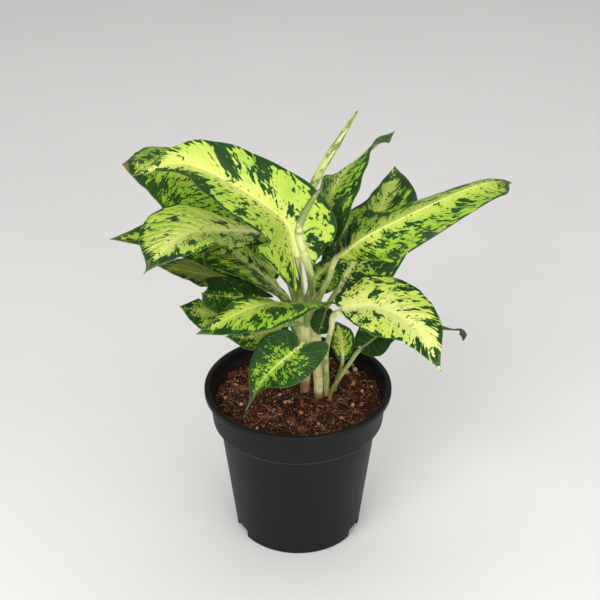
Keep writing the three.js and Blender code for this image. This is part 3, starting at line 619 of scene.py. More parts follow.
def mottle_group():
    """Cloudy patches with a finer grain over them; every material but the rolled leaves' has it."""

    def build(net, given):
        patches = net.noise(given["Vector"], given["Patch Scale"], 4.0, 0.6, 0.3)
        low = net.minus(0.5, given["Spread"])
        high = net.plus(0.5, given["Spread"])
        grain = net.noise(given["Vector"], given["Grain Scale"], 3.0, 0.6)
        return {
            "Patches": net.smooth(patches, low, high),
            "Grain": net.smooth(grain, 0.3, 0.7),
            "Height": net.times_plus(grain, 0.4, net.times(patches, 0.6)),
        }

    inputs = {"Vector": None, "Patch Scale": 100.0, "Grain Scale": 900.0, "Spread": 0.2}
    return shared_group("Mottle", inputs, build)


def veins_group():
    """Side veins across a blade: a thin line at each vein, and fine ones between."""

    def build(net, given):
        place = net.combine(net.times(given["Across"], 0.05), given["Along"])
        sway = net.noise(place, 0.12, 2.0)
        along = net.times_plus(sway, 2.2, given["Along"])
        turn = net.over(along, given["Spacing"])
        wave = net.math("COSINE", net.times(turn, 2 * math.pi))
        fine = net.math("COSINE", net.times(turn, 10 * math.pi))
        return {
            "Line": net.smooth(wave, given["Sharpness"], 1.0),
            "Fine Line": net.smooth(fine, 0.4, 1.0),
        }

    inputs = {"Along": 0.0, "Across": 0.0, "Spacing": 6.0, "Sharpness": 0.8}
    return shared_group("Side Veins", inputs, build)


def variegation_group():
    """Dark tissue over pale, in ragged patches drawn out along the side veins."""

    def build(net, given):
        x = net.over(given["Across"], given["Patch Length"])
        y = net.over(given["Along"], given["Patch Width"])
        place = net.combine(x, y)
        broad = net.noise(place, 0.9, 1.0, 0.5, 0.5)
        fine = net.noise(net.scaled(place, (2.5, 1.9, 1)), 1.0, 1.5, 0.5, 0.6)
        specks = net.noise(net.scaled(place, (4.0, 3.8, 1)), 1.0, 1.0, 0.5, 0.5)
        distance = net.math("ABSOLUTE", given["Across"])
        field = net.times_plus(net.minus(broad, 0.5), 1.3, given["Share"])
        field = net.times_plus(net.minus(fine, 0.5), 1.9, field)
        field = net.times_plus(net.minus(specks, 0.5), 2.0, field)
        # More of it at the rim, and less by the midrib.
        margin = net.times(net.smooth(given["Rim"], 0.2, 2.8, 1.15, 0.0),
                           net.smooth(broad, 0.38, 0.6, 0.5, 1.0))
        field = net.plus(field, margin)
        field = net.minus(field, net.smooth(distance, 0.5, 7.0, 0.4, 0.0))
        return {
            "Dark": net.smooth(field, 0.45, 0.55),
            "Half Tone": net.smooth(field, 0.24, 0.48),
            "Ground": net.smooth(net.noise(place, 0.6, 2.0), 0.35, 0.65),
        }

    inputs = {"Across": 0.0, "Along": 0.0, "Rim": 10.0, "Share": 0.2,
              "Patch Length": 9.0, "Patch Width": 5.0}
    return shared_group("Variegation", inputs, build)


# ---------------------------------------------------------------- materials


def new_material(name):
    """A material, its net and its shader."""
    made = bpy.data.materials.new(name)
    made.use_nodes = True
    made.node_tree.nodes.clear()
    net = Net(made.node_tree)
    shader = net.node("ShaderNodeBsdfPrincipled")
    net.fill(net.node("ShaderNodeOutputMaterial"), Surface=shader.outputs[0])
    return made, net, shader


def finish_surface(net, shader, colour, rough, height=None, relief=0.0, strength=1.0):
    """Colour and roughness over the surface, and its height as a bump of this relief."""
    net.fill(shader, Base_Color=colour, Roughness=rough)
    if height is not None:
        made = net.node("ShaderNodeBump")
        made.inputs["Strength"].default_value = strength
        made.inputs["Distance"].default_value = relief
        net.put(made.inputs["Height"], height)
        net.put(shader.inputs["Normal"], made.outputs[0])


def fleshy(shader, weight, radius, scale):
    """Light goes a little way into living tissue."""
    shader.inputs["Subsurface Weight"].default_value = weight
    shader.inputs["Subsurface Radius"].default_value = radius
    shader.inputs["Subsurface Scale"].default_value = scale


def leaf_material(look):
    """Variegated blade: pale ground, dark ragged patches and rim, cream midrib, veins."""
    made, net, shader = new_material("leaf_skin")
    share, yellow, depth, under = net.tones()
    across, along = (net.times(part, UV_SCALE) for part in net.uv("leaf"))
    rim, place = net.uv("rim")
    rim = net.times(rim, UV_SCALE)
    distance = net.math("ABSOLUTE", across)
    marks = net.group(variegation_group(), Across=across, Along=along, Rim=rim, Share=share,
                      Patch_Length=10.0, Patch_Width=5.5)
    veins = net.group(veins_group(), Along=along, Across=across,
                      Spacing=look.vein_step / MM, Sharpness=0.86)
    # Ground: yellow by the midrib, lime to the edge, and creamier where it is yellow.
    near = net.smooth(distance, 0.0, 16.0, 0.55, 0.0)
    drift = net.times_plus(net.minus(marks["Ground"], 0.5), 0.35, near)
    ground_share = net.plus(drift, net.minus(yellow, 0.25), clamp=True)
    colour = net.mix(ground_share, look.lime, look.yellow)
    creamy = net.times(net.smooth(distance, 0.0, 20.0, 0.6, 0.12), net.times(yellow, yellow))
    colour = net.mix(creamy, colour, look.midrib)
    colour = net.mix(net.times(veins["Fine Line"], 0.12), colour, look.half_tone)
    colour = net.mix(net.times(marks["Half Tone"], 0.85), colour, look.half_tone)
    # Dark tissue, a little lighter along the veins of the deeper leaves.
    dark_light = tuple(1.9 * c for c in look.dark)
    dark = net.mix(net.times(marks["Ground"], 0.6), look.dark, dark_light)
    ribbed = net.times(depth, 0.75)
    dark = net.mix(net.times(veins["Line"], ribbed), dark, look.half_tone)
    dark = net.mix(net.times(veins["Fine Line"], ribbed), dark, look.half_tone)
    colour = net.mix(marks["Dark"], colour, dark)
    # Painted shade and age: leaves that sit in shade, and older ones, are deeper and more olive,
    # all but their midrib.
    colour = net.mix(depth, colour, net.mix(1.0, colour, OLIVE_SHADE, "MULTIPLY"))
    pale = net.mix(net.times(depth, 0.7), look.midrib, SHADED_MIDRIB)
    # Cream runs out of the midrib into the first stretch of each side vein.
    flare = net.smooth(distance, 1.0, 11.0, 0.4, 0.0)
    clean = net.times_plus(marks["Dark"], -0.85, 1.0)
    flare = net.times(veins["Line"], net.times(net.times(flare, marks["Ground"]), clean))
    colour = net.mix(flare, colour, pale)
    # The midrib is widest at its base on a yellow leaf, and fades at the tip and in dark tissue.
    flare_width = net.times(net.smooth(place, 0.0, 0.35, 2.4, 0.0), yellow)
    width = net.plus(net.times_plus(place, -0.9, 1.2), flare_width)
    rib = net.smooth(net.minus(distance, width), -1.2, 0.6, 0.95, 0.0)
    rib = net.times(rib, net.smooth(place, 0.7, 1.0, 1.0, 0.25))
    rib = net.times(rib, net.times_plus(marks["Dark"], -0.5, 1.0))
    colour = net.mix(rib, colour, pale)
    # A hairline of pale tissue on the very edge.
    colour = net.mix(net.smooth(rim, 0.1, 0.4, 0.2, 0.0), colour, EDGE_HAIRLINE)
    # The underside is dull.
    colour = net.mix(under, colour, net.mix(0.35, colour, UNDERSIDE))
    # The place runs past 1 where a tip has withered.
    colour = net.mix(net.smooth(place, 1.02, 1.3), colour, WITHERED_TIP)
    grain = net.mottle(net.combine(across, along), 0.35, 3.5, 0.25)
    rough = net.times_plus(under, 0.16, net.times_plus(grain["Patches"], 0.12, 0.34))
    height = net.times_plus(veins["Line"], -0.55, net.times(grain["Height"], 0.35))
    height = net.times_plus(veins["Fine Line"], -0.12, height)
    finish_surface(net, shader, colour, rough, height, 0.00035, 0.7)
    shader.inputs["Specular IOR Level"].default_value = 0.13
    fleshy(shader, 0.12, (0.5, 1.0, 0.15), 0.0012)
    return made


def petiole_material(look, stems):
    """Leaf stalk: cream towards the blade, green mottles, darker at its foot."""
    made, net, shader = new_material("petiole_skin")
    share, yellow, depth, brown = net.tones()
    place = net.object_place()
    mottle = net.mottle(net.scaled(place, (1.0, 1.0, 0.35)), 330.0, 2200.0, 0.06)
    colour = net.mix(net.times(yellow, 0.55), stems.green, stems.cream)
    colour = net.mix(net.times(mottle["Patches"], share), colour, look.half_tone)
    # Painted shade: stalks of leaves that sit in shade are darker, as are those of older ones.
    colour = net.mix(depth, colour, net.mix(1.0, colour, STALK_SHADE, "MULTIPLY"))
    colour = net.mix(brown, colour, STALK_FOOT)
    ribs = net.noise(net.scaled(place, (1.0, 1.0, 0.06)), 1500.0, 2.0)
    rough = net.times_plus(mottle["Grain"], 0.12, 0.36)
    finish_surface(net, shader, colour, rough, ribs, 0.0003, 0.5)
    fleshy(shader, 0.15, (0.8, 1.0, 0.3), 0.0015)
    return made


def cane_material(stems):
    """Fleshy pale cane with ring scars, freckles and a corky brown foot."""
    made, net, shader = new_material("cane_skin")
    ring, foot, stain, _ = net.tones()
    place = net.object_place()
    mottle = net.mottle(net.scaled(place, (1, 1, 0.4)), 160.0, 1500.0, 0.15)
    pale = tuple(min(1, 1.15 * c) for c in stems.cream)
    colour = net.mix(net.times(mottle["Patches"], 0.25), pale, stems.green)
    streaks = net.noise(net.scaled(place, (1, 1, 0.05)), 900.0, 3.0)
    colour = net.mix(net.smooth(streaks, 0.45, 0.75, 0.0, 0.45), colour, CANE_STREAK)
    freckle = net.smooth(net.noise(place, 1400.0, 2.0), 0.66, 0.74)
    colour = net.mix(net.times(freckle, 0.5), colour, stems.brown)
    edge = net.times(ring, net.smooth(net.noise(place, 500.0, 2.0), 0.35, 0.6))
    colour = net.mix(net.times(edge, 0.75), colour, stems.brown)
    patchy = net.smooth(net.noise(net.scaled(place, (1, 1, 0.5)), 260.0, 4.0, 0.65), 0.38, 0.6)
    bark = net.times(net.times(foot, patchy), 0.8)
    bark = net.times_plus(foot, 0.8, bark, clamp=True)
    colour = net.mix(bark, colour, net.mix(mottle["Grain"], stems.brown, CORK))
    colour = net.mix(net.times(stain, patchy), colour, CANE_STAIN)
    height = net.times_plus(streaks, 0.6, net.times(mottle["Height"], 0.5))
    rough = net.times_plus(bark, 0.35, 0.42)
    finish_surface(net, shader, colour, rough, height, 0.0006, 0.5)
    fleshy(shader, 0.12, (1.0, 0.9, 0.4), 0.002)
    return made


def spear_material(stems):
    """Rolled new leaf: dark outer edge, pale middle, green patches, browned tip."""
    made, net, shader = new_material("spear_skin")
    edge, patch, cream, brown = net.tones()
    around, along = net.uv("leaf")
    along = net.times(along, UV_SCALE)
    fine_place = net.combine(net.times(around, 30.0), net.over(along, 16.0))
    streaks = net.noise(fine_place, 1.0, 3.0)
    blot_place = net.combine(net.times(around, 5.0), net.over(along, 9.0))
    blots = net.noise(blot_place, 1.0, 3.0, 0.6, 0.4)
    colour = net.mix(net.smooth(streaks, 0.35, 0.7), ROLL_PALE, ROLL_CREAM)
    field = net.times_plus(net.minus(blots, 0.5), 1.6, patch)
    colour = net.mix(net.smooth(field, 0.44, 0.56, 0.0, 0.85), colour, ROLL_PATCH)
    colour = net.mix(net.times(cream, 0.85), colour, stems.cream)
    sides = net.times_plus(net.minus(streaks, 0.5), 0.9, edge)
    colour = net.mix(net.smooth(sides, 0.4, 0.6, 0.0, 0.9), colour, ROLL_EDGE)
    colour = net.mix(brown, colour, stems.brown)
    rough = net.smooth(streaks, 0.3, 0.7, 0.32, 0.44)
    finish_surface(net, shader, colour, rough, streaks, 0.0004, 0.5)
    fleshy(shader, 0.12, (0.8, 1.0, 0.3), 0.0015)
    return made


def pot_material(pot):
    """Matt moulded plastic: fine grain, faint scuffs, painted step highlight, dust on the inner
    wall.
    """
    made, net, shader = new_material("pot_plastic")
    place = net.object_place()
    x, y, z = net.separate(place)
    radius = net.math("SQRT", net.plus(net.times(x, x), net.times(y, y)))
    mottle = net.mottle(place, 28.0, 1700.0, 0.2)
    lighter = tuple(1.35 * c for c in pot.colour)
    colour = net.mix(net.times(mottle["Patches"], 0.5), pot.colour, lighter)
    # Fine scratches run round and down the wall.
    rubbed = net.noise(net.scaled(place, (1.0, 1.0, 0.12)), 420.0, 4.0, 0.7, 0.8)
    colour = net.mix(net.smooth(rubbed, 0.68, 0.76, 0.0, 0.25), colour, SCRATCH)
    # The step under the collar has a painted highlight, a thin paler line.
    from_step = net.math("ABSOLUTE", net.minus(z, (COLLAR_BOTTOM_Z + 0.2) * MM))
    step = net.smooth(from_step, 0.0003, 0.0009, 1.0, 0.0)
    outside = net.smooth(radius, 0.0575, 0.059)
    colour = net.mix(net.times(net.times(step, outside), 0.85), colour, STEP_HIGHLIGHT)
    # Dust clings above the soil inside, in small specks.
    wall = net.minus(radius, net.times(z, COLLAR_SLOPE))
    inside = net.smooth(wall, 0.0497, 0.0503, 1.0, 0.0)
    low = net.smooth(z, SOIL_Z * MM, (SOIL_Z + 7) * MM, 1.0, 0.0)
    low = net.times(low, net.smooth(z, 0.098, 0.1))
    specks = net.smooth(net.noise(place, 900.0, 3.0, 0.6), 0.5, 0.62)
    dust = net.times(net.times(inside, low), net.times_plus(specks, 0.35, 0.02))
    colour = net.mix(dust, colour, pot.dust)
    rough = net.times_plus(mottle["Patches"], 0.08, 0.44)
    rough = net.times_plus(mottle["Grain"], 0.08, rough)
    rough = net.times_plus(dust, 0.4, rough)
    height = net.times_plus(mottle["Grain"], 0.5, net.times(mottle["Patches"], 0.5))
    finish_surface(net, shader, colour, rough, height, 0.00012, 0.6)
    shader.inputs["Specular IOR Level"].default_value = 0.18
    return made


def peat_material(soil, name, light_share):
    """Coco peat: painted shade in the hollows, painted light on the tops, reddish brown crumbs, tan
    fibre dust.
    """
    made, net, shader = new_material(name)
    tint, raised, _, _ = net.tones()
    mottle = net.mottle(net.object_place(), 190.0, 1600.0, 0.16)
    cloud = net.times_plus(mottle["Patches"], 0.9, 0.35)
    # Painted light: the higher the point, the larger its share of the pale peat; crumbs draw it at
    # random.
    share = net.times(net.times(net.math("POWER", raised, 3.0), light_share), cloud)
    share = net.times_plus(net.minus(mottle["Grain"], 0.5), 0.3, share, clamp=True)
    colour = net.mix(share, soil.dark, soil.light)
    colour = net.mix(net.smooth(tint, 0.7, 0.95, 0.0, 0.8), colour, WARM_CRUMB)
    colour = net.mix(net.smooth(tint, 0.93, 0.96, 0.0, 0.9), colour, soil.fibre)
    rough = net.smooth(mottle["Grain"], 0.0, 1.0, 0.72, 0.95)
    finish_surface(net, shader, colour, rough, mottle["Height"], 0.0008, 0.8)
    shader.inputs["Specular IOR Level"].default_value = 0.2
    return made


def litter_material(soil, name, colour, stain):
    """Fibres, chips, beads and dry tissue: one colour with stains."""
    made, net, shader = new_material(name)
    mottle = net.mottle(net.object_place(), 420.0, 2400.0, 0.12)
    mixed = net.mix(net.times(mottle["Patches"], 0.6), colour, stain)
    mixed = net.mix(net.times(net.tones()[0], 0.8), mixed, soil.light)
    rough = net.smooth(mottle["Grain"], 0.0, 1.0, 0.55, 0.85)
    finish_surface(net, shader, mixed, rough, mottle["Height"], 0.0004, 0.6)
    return made


def floor_material(stage):
    """Plain pale matt floor with a barely seen grain."""
    made, net, shader = new_material("pale_floor")
    mottle = net.mottle(net.object_place(), 6.0, 260.0, 0.3)
    shade = tuple(0.97 * c for c in stage.floor)
    colour = net.mix(mottle["Patches"], stage.floor, shade)
    finish_surface(net, shader, colour, net.smooth(mottle["Grain"], 0.0, 1.0, 0.6, 0.7))
    shader.inputs["Specular IOR Level"].default_value = 0.25
    return made


# ---------------------------------------------------------------- mesh helpers


def make_piece(name, points, faces, materials, slots=None, tone=None, uvs=None):
    """A smooth mesh object at the origin; points in millimetres."""
    mesh = bpy.data.meshes.new(name)
    mesh.from_pydata((np.asarray(points, float) * MM).tolist(), [], [tuple(f) for f in faces])
    for material in materials:
        mesh.materials.append(material)
    mesh.polygons.foreach_set("use_smooth", [True] * len(mesh.polygons))
    if slots is not None:
        mesh.polygons.foreach_set("material_index", np.asarray(slots, np.int32))
    if tone is not None:
        layer = mesh.color_attributes.new("tone", "FLOAT_COLOR", "POINT")
        layer.data.foreach_set("color", np.asarray(tone, np.float32).ravel())
    corner = np.empty(len(mesh.loops), np.int32)
    mesh.loops.foreach_get("vertex_index", corner)
    for label, values in (uvs or {}).items():
        layer = mesh.uv_layers.new(name=label)
        layer.data.foreach_set("uv", np.asarray(values, np.float32)[corner].ravel())
    mesh.update()
    piece = bpy.data.objects.new(name, mesh)
    bpy.context.scene.collection.objects.link(piece)
    return piece


def dress(piece, slot, *nodes):
    """The piece rides on the root and stands for these solids. Its slot is not used."""
    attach(piece, "root")
    if nodes:
        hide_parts(*nodes)


def unit(vectors):
    size = np.linalg.norm(vectors, axis=-1, keepdims=True)
    return vectors / np.maximum(size, 1e-12)


def along_curve(points, u):
    """Points of the smooth curve through the given ones at shares u, 0 to 1."""
    given = np.asarray(points, float)
    ends = np.vstack([2 * given[0] - given[1], given, 2 * given[-1] - given[-2]])
    place = np.clip(np.asarray(u, float), 0, 1) * (len(given) - 1)
    i = np.minimum(place.astype(int), len(given) - 2)
    f = (place - i)[..., None]
    before, start, end, after = ends[i], ends[i + 1], ends[i + 2], ends[i + 3]
    leave, arrive = (end - before) / 2, (after - start) / 2
    return (start + leave * f + (3 * (end - start) - 2 * leave - arrive) * f ** 2
            + (2 * (start - end) + leave + arrive) * f ** 3)


def curve_length(points):
    steps = np.diff(along_curve(points, np.linspace(0, 1, 81)), axis=0)
    return float(np.linalg.norm(steps, axis=1).sum())


def smooth_step(x, low, high):
    t = np.clip((np.asarray(x, float) - low) / (high - low), 0, 1)
    return t * t * (3 - 2 * t)


def bell(x, middle, width):
    """1 at the middle, falling away on both sides."""
    return math.exp(-((x - middle) / width) ** 2)


def angles(sides):
    return 2 * np.pi * np.arange(sides) / sides


def ring_faces(rings, sides, start=0):
    """Quads between rings of points; the two points after them close the ends as fans."""
    faces = []
    for k in range(rings - 1):
        a, b = start + k * sides, start + (k + 1) * sides
        for i in range(sides):
            j = (i + 1) % sides
            faces.append((a + i, a + j, b + j, b + i))
    total, last = start + rings * sides, start + (rings - 1) * sides
    faces += [(total, start + (i + 1) % sides, start + i) for i in range(sides)]
    faces += [(total + 1, last + i, last + (i + 1) % sides) for i in range(sides)]
    return faces


def tube_axis(given, rows, *columns):
    """Shares, centres, two ways across and the given columns, at each row of a tube."""
    shares = np.linspace(0, 1, rows + 1)
    centres = along_curve([p[:3] for p in given], shares)
    side = np.array((1.0, 0, 0))
    sides = []
    along = unit(np.gradient(centres, axis=0))
    for direction in along:
        side = side - direction * side.dot(direction)
        side /= np.linalg.norm(side)
        sides.append(side)
    sides = np.array(sides)
    places = shares * (len(given) - 1)
    found = [np.interp(places, range(len(given)), [p[i] for p in given]) for i in columns]
    return shares, centres, sides, np.cross(along, sides), *found


# ---------------------------------------------------------------- leaf shape


def bezier(t, a, b, c, d):
    r = 1 - t
    return r ** 3 * a + 3 * r * r * t * b + 3 * r * t * t * c + t ** 3 * d


def outline(s, widest, lobe, taper, fullness):
    """The edge's place along the midrib and its share of the half width at row s."""
    t = np.clip(s / WIDEST_ROW, 0, 1)
    low = bezier(t, 0, -2 * lobe, widest - LOBE_SWELL * (widest + lobe), widest)
    low_share = bezier(t, 0, fullness, 1, 1)
    t = np.clip((s - WIDEST_ROW) / (1 - WIDEST_ROW), 0, 1)
    rest = 1 - widest
    high = bezier(t, widest, widest + SHOULDER_SWELL * rest, 1 - TIP_SWELL * rest, 1)
    high_share = bezier(t, 1, 1, taper, 0)
    first = s < WIDEST_ROW
    return np.where(first, low, high), np.where(first, low_share, high_share)


def rib_frame(leaf, u):
    """Point, way along, way up and way right on the midrib at shares u."""
    within = np.clip(u, 0, 1)
    start = np.maximum(0, within - TANGENT_WINDOW)
    end = np.minimum(1, within + TANGENT_WINDOW)
    reach = along_curve(leaf["rib"], end) - along_curve(leaf["rib"], start)
    tangent = reach / (end - start)[..., None]
    point = along_curve(leaf["rib"], within) + tangent * np.minimum(u, 0)[..., None]
    along = unit(tangent)
    first, last = (unit(np.array(way, float)) for way in leaf["face"])
    up = first + (last - first) * within[..., None]
    up = unit(up - along * (up * along).sum(-1, keepdims=True))
    return point, along, up, np.cross(along, up)


def blade_grid(leaf, s, c):
    """The blade's middle surface: rows s by columns c, -1 at the left edge to 1 at the right."""
    s, c = np.meshgrid(s, c, indexing="ij")
    t, side = np.abs(c), np.where(c < 0, -1, 1)

    def pick(name):
        return np.where(c < 0, *leaf[name])

    edge_place, edge_share = outline(s, leaf["widest"], pick("lobe"), leaf["taper"], pick("base"))
    behind = np.clip(-LOBE_OPENING * edge_place, 0, LOBE_CLEARANCE)
    least = leaf["radius"] * np.maximum(1 - BASE_NARROWING * s, np.sign(behind) + behind)
    half = np.maximum(edge_share * pick("half"), TIP_HALF_WIDTH * (1 - 0.8 * s))
    half = np.maximum(half, least)
    level = np.minimum(LEVEL_MOST, LEVEL_WIDTH * leaf["radius"] / half)
    slant = np.maximum(0, (t - level) / (1 - level))
    rib_place = s ** ROW_LEAN
    place = rib_place + (edge_place - rib_place) * slant
    point, _, up, right = rib_frame(leaf, place)
    fold = pick("fold") + (pick("foldTip") - pick("fold")) * np.clip(place, 0, 1)
    turn = np.radians(fold - pick("curl") * t / 2)
    phase = 2 * math.pi * (leaf["wave"][1] * s + np.where(c < 0, 0, 0.25))
    wave = leaf["wave"][0] * t * t * edge_share * np.sin(phase)
    across = t * half
    points = (point + right * (side * across * np.cos(turn))[..., None]
              + up * (across * np.sin(turn) + wave)[..., None])
    return dict(points=points, s=s, c=c, t=t, across=across, share=edge_share, rib=rib_place,
                inward=(1 - t) * half)


def blade_normals(leaf, grid):
    """The blade's normals, which turn to the midrib's way up as they near it."""
    points, c = grid["points"], grid["c"]
    base, along, up, _ = rib_frame(leaf, grid["rib"])
    flow = unit(np.gradient(points, axis=0)) + along
    outward = np.gradient(points, axis=1)
    normal = unit(np.cross(outward, flow))
    across = np.linalg.norm(points - base, axis=-1, keepdims=True)
    flat = np.clip(1 - across / 3, 0, 1)
    flat = np.maximum(flat, (c == 0)[..., None])
    flat[0] = 1
    return unit(normal + (up - normal) * flat), up


def blade_sides(leaf, grid, large, settings, draw):
    """The upper and lower side: ripples, the swell between veins, the midrib and thickness."""
    normal, up = blade_normals(leaf, grid)
    s, c = grid["s"], grid["c"]
    ripple = np.zeros(s.shape)
    for waves in RIPPLE_WAVES:
        shifts = np.where(c < 0, draw.uniform(0, TURN), draw.uniform(0, TURN))
        ripple += draw.uniform(0.4, 1) * np.sin(2 * math.pi * waves * s + shifts)
    strength = settings.ripple / MM * (1.0 if large else SMALL_RIPPLE) / 2
    ripple *= strength * grid["t"] ** 2.5 * np.minimum(1, grid["share"] * 1.5)
    # The blade swells between its side veins, and sinks a little at each.
    fade = smooth_step(grid["across"], 1.0, 5.0) * smooth_step(grid["inward"], 0.5, 5.0)
    veins = np.cos(2 * math.pi * grid["along"] * MM / settings.vein_step)
    swell = -settings.vein_relief / MM * fade * veins
    middle = grid["points"] + normal * swell[..., None] + up * ripple[..., None]
    # Midrib: a low ridge above, a deep one below.
    rib_radius = leaf["radius"] * (1 - RIB_THINNING * grid["rib"])
    bulge = np.sqrt(np.clip(1 - (grid["across"] / rib_radius) ** 2, 0, None))
    thinned = smooth_step(grid["inward"], 0, EDGE_WIDTH)
    thin_edge = EDGE_THINNESS + (1 - EDGE_THINNESS) * thinned
    half_thick = normal * (settings.thickness / MM / 2 * thin_edge)[..., None]
    upper = middle + half_thick + up * (RIB_RISE * rib_radius * bulge)[..., None]
    lower = middle - half_thick - up * (RIB_DEPTH * RIB_SINK * rib_radius * bulge)[..., None]
    return upper.reshape(-1, 3), lower.reshape(-1, 3)


def blade_faces(high, wide):
    """Faces of the upper side, the lower side and the edge between them."""
    count, faces = high * wide, []
    for k in range(high - 1):
        for a in range(k * wide, (k + 1) * wide - 1):
            faces.append((a, a + 1, a + wide + 1, a + wide))
            faces.append((count + a, count + a + wide, count + a + wide + 1, count + a + 1))
    last = (high - 1) * wide
    border = [*range(last, 0, -wide), *range(wide - 1),
              *range(wide - 1, last, wide), *range(last + wide - 1, last, -1)]
    for a, b in zip(border, border[1:] + border[:1]):
        faces.append((b, a, count + a, count + b))
    return faces


def petiole_rings(leaf):
    """The stalk's rings from its root into the base of the midrib."""
    base, along, up, _ = [v[0] for v in rib_frame(leaf, np.array([0.0]))]
    radius = leaf["radius"]
    reach = np.linalg.norm(base - leaf["petiole"][-1])
    path = [*leaf["petiole"], tuple(base), tuple(base + 2 * reach * along)]
    end = (len(path) - 2) / (len(path) - 1)
    length = reach + sum(math.dist(a, b) for a, b in zip(leaf["petiole"], leaf["petiole"][1:]))
    rows = max(8, round(length / PETIOLE_STEP))
    shares = np.linspace(0, end, rows + 1)
    centres = along_curve(path, shares)
    ahead = along_curve(path, shares + 0.002)
    behind = along_curve(path, np.maximum(0, shares - 0.002))
    tangents = unit(ahead - behind)
    rings, heights = [], []
    way = tangents[-1]
    top = unit(up - way * up.dot(way))
    angle = math.pi - 2 * math.pi * (np.arange(PETIOLE_SIDES) + 0.5) / PETIOLE_SIDES
    for k in range(rows, -1, -1):
        top = unit(top - tangents[k] * top.dot(tangents[k]))
        right = np.cross(tangents[k], top)
        # It sinks under the midrib at the blade, and swells at its foot.
        sunk = float(smooth_step(length * (1 - k / rows), PETIOLE_SINK_LENGTH, 0.0))
        foot = float(smooth_step(k / rows, 0.25, 0.0))
        size = radius * (1 + PETIOLE_FOOT_SWELL * foot)
        # A shallow channel runs along the upper side.
        channel = np.exp(-((angle - math.pi / 2) / 0.5) ** 2)
        channel = 1 - PETIOLE_CHANNEL * (1 - sunk) * channel
        middle = centres[k] - top * 0.8 * radius * sunk
        rings.append(middle + right * (size * np.cos(angle))[:, None]
                     + top * (size * channel * np.sin(angle))[:, None])
        heights.append(k / rows)
    rings.reverse()
    heights.reverse()
    inner = rings[-1].mean(0)
    rings.append(inner + (rings[-1] - inner) * 0.6 + along * 1.4 * radius)
    heights.append(1.0)
    return np.array(rings), np.array(heights)


def patch_field(leaf, look, grid):
    """The share of dark tissue at each point: the leaf's own, its large patches and clearings."""
    field = np.full(grid["s"].shape, look["dark"])

    def spot(row, share, radius):
        centre = blade_grid(leaf, np.array([row]), np.array([share]))["points"][0, 0]
        gap = np.linalg.norm(grid["points"] - centre, axis=-1) / radius
        return np.exp(-0.7 * gap ** 2)

    for mark in look.get("marks", ()):
        field = np.maximum(field, look["dark"] + MARK_STRENGTH * spot(*mark))
    for clearing in look.get("clear", ()):
        field = field - CLEARING_STRENGTH * spot(*clearing)
    return field


def blade_tones(leaf, look, grid):
    """Dark tissue, yellow, olive and painted shade, and underside at the points of the blade."""
    count = grid["s"].size
    tone = np.zeros((2 * count, 4))
    tone[:, 0] = np.tile(patch_field(leaf, look, grid).ravel(), 2)
    tone[:, 1], tone[:, 2] = look["yellow"], look["depth"]
    tone[count:, 3] = 1
    return tone


def blade_uvs(leaf, look, grid, large, index):
    """Across and along the blade; distance from the rim and place along the midrib."""
    # The pattern is finer on small leaves, and finest on the youngest.
    small = SMALL_PATTERN if max(leaf["half"]) >= YOUNG_HALF_WIDTH else YOUNG_PATTERN
    finer = 1.0 if large else small
    across = np.sign(grid["c"]) * grid["across"] * finer / UV_SCALE
    along = grid["along"] * finer / UV_SCALE
    withered = look.get("burn", 0) * smooth_step(grid["rib"], 0.93, 0.99)
    rim = grid["inward"] * 0.8 * finer / UV_SCALE
    return {
        "leaf": np.stack([across.ravel(), along.ravel() + 0.37 * index], 1),
        "rim": np.stack([rim.ravel(), (grid["rib"] + withered).ravel()], 1),
    }


def stalk_tones(look, rings, heights):
    """Mottle, cream, olive and painted shade, and brown foot at the points of the petiole."""
    spread = np.append(np.repeat(heights, PETIOLE_SIDES), [0, 1])
    tone = np.zeros((len(spread), 4))
    arch = np.sin(math.pi * spread)
    tone[:, 0] = 0.3 + 0.3 * arch
    tone[:, 1] = look.get("stalk", 0.8) - 0.45 * arch
    tone[:, 1] += look["yellow"] * smooth_step(spread, 0.7, 1.0)
    tone[:, 2] = 0.6 * look["depth"]
    above = np.append(np.repeat(rings[:, :, 2].mean(1), PETIOLE_SIDES), [0, 200]) - SOIL_Z
    tone[:, 3] = look.get("foot", 0) * smooth_step(above, 24, 2)
    return tone


def leaf_piece(name, index, settings, materials):
    """One leaf: blade with midrib, veins, ripples and thickness, and its petiole."""
    leaf, look = LEAVES[name], LOOKS[name]
    large = is_large(leaf)
    rows, columns = LARGE_GRID if large else SMALL_GRID
    t = np.linspace(0, 1, columns + 1) ** COLUMN_EASE
    grid = blade_grid(leaf, np.linspace(0, 1, rows + 1), np.concatenate([-t[:0:-1], t]))
    grid["along"] = grid["rib"] * curve_length(leaf["rib"])
    upper, lower = blade_sides(leaf, grid, large, settings, random.Random(LEAF_SEED + index))
    rings, heights = petiole_rings(leaf)
    stalk = rings.reshape(-1, 3), rings[0].mean(0)[None], rings[-1].mean(0)[None]
    faces = blade_faces(*grid["s"].shape)
    stalk_faces = ring_faces(len(rings), PETIOLE_SIDES, 2 * len(upper))
    slots = [0] * len(faces) + [1] * len(stalk_faces)
    faces += [tuple(reversed(f)) for f in stalk_faces]
    stalk_tone = stalk_tones(look, rings, heights)
    tone = np.vstack([blade_tones(leaf, look, grid), stalk_tone])
    uvs = {label: np.vstack([uv, uv, np.zeros((len(stalk_tone), 2))])
           for label, uv in blade_uvs(leaf, look, grid, large, index).items()}
    piece = make_piece("blade_" + name[5:], np.vstack([upper, lower, *stalk]), faces, materials,
                       slots, tone, uvs)
    dress(piece, "leaf", name)


def is_large(leaf):
    return max(leaf["half"]) >= LARGE_HALF_WIDTH


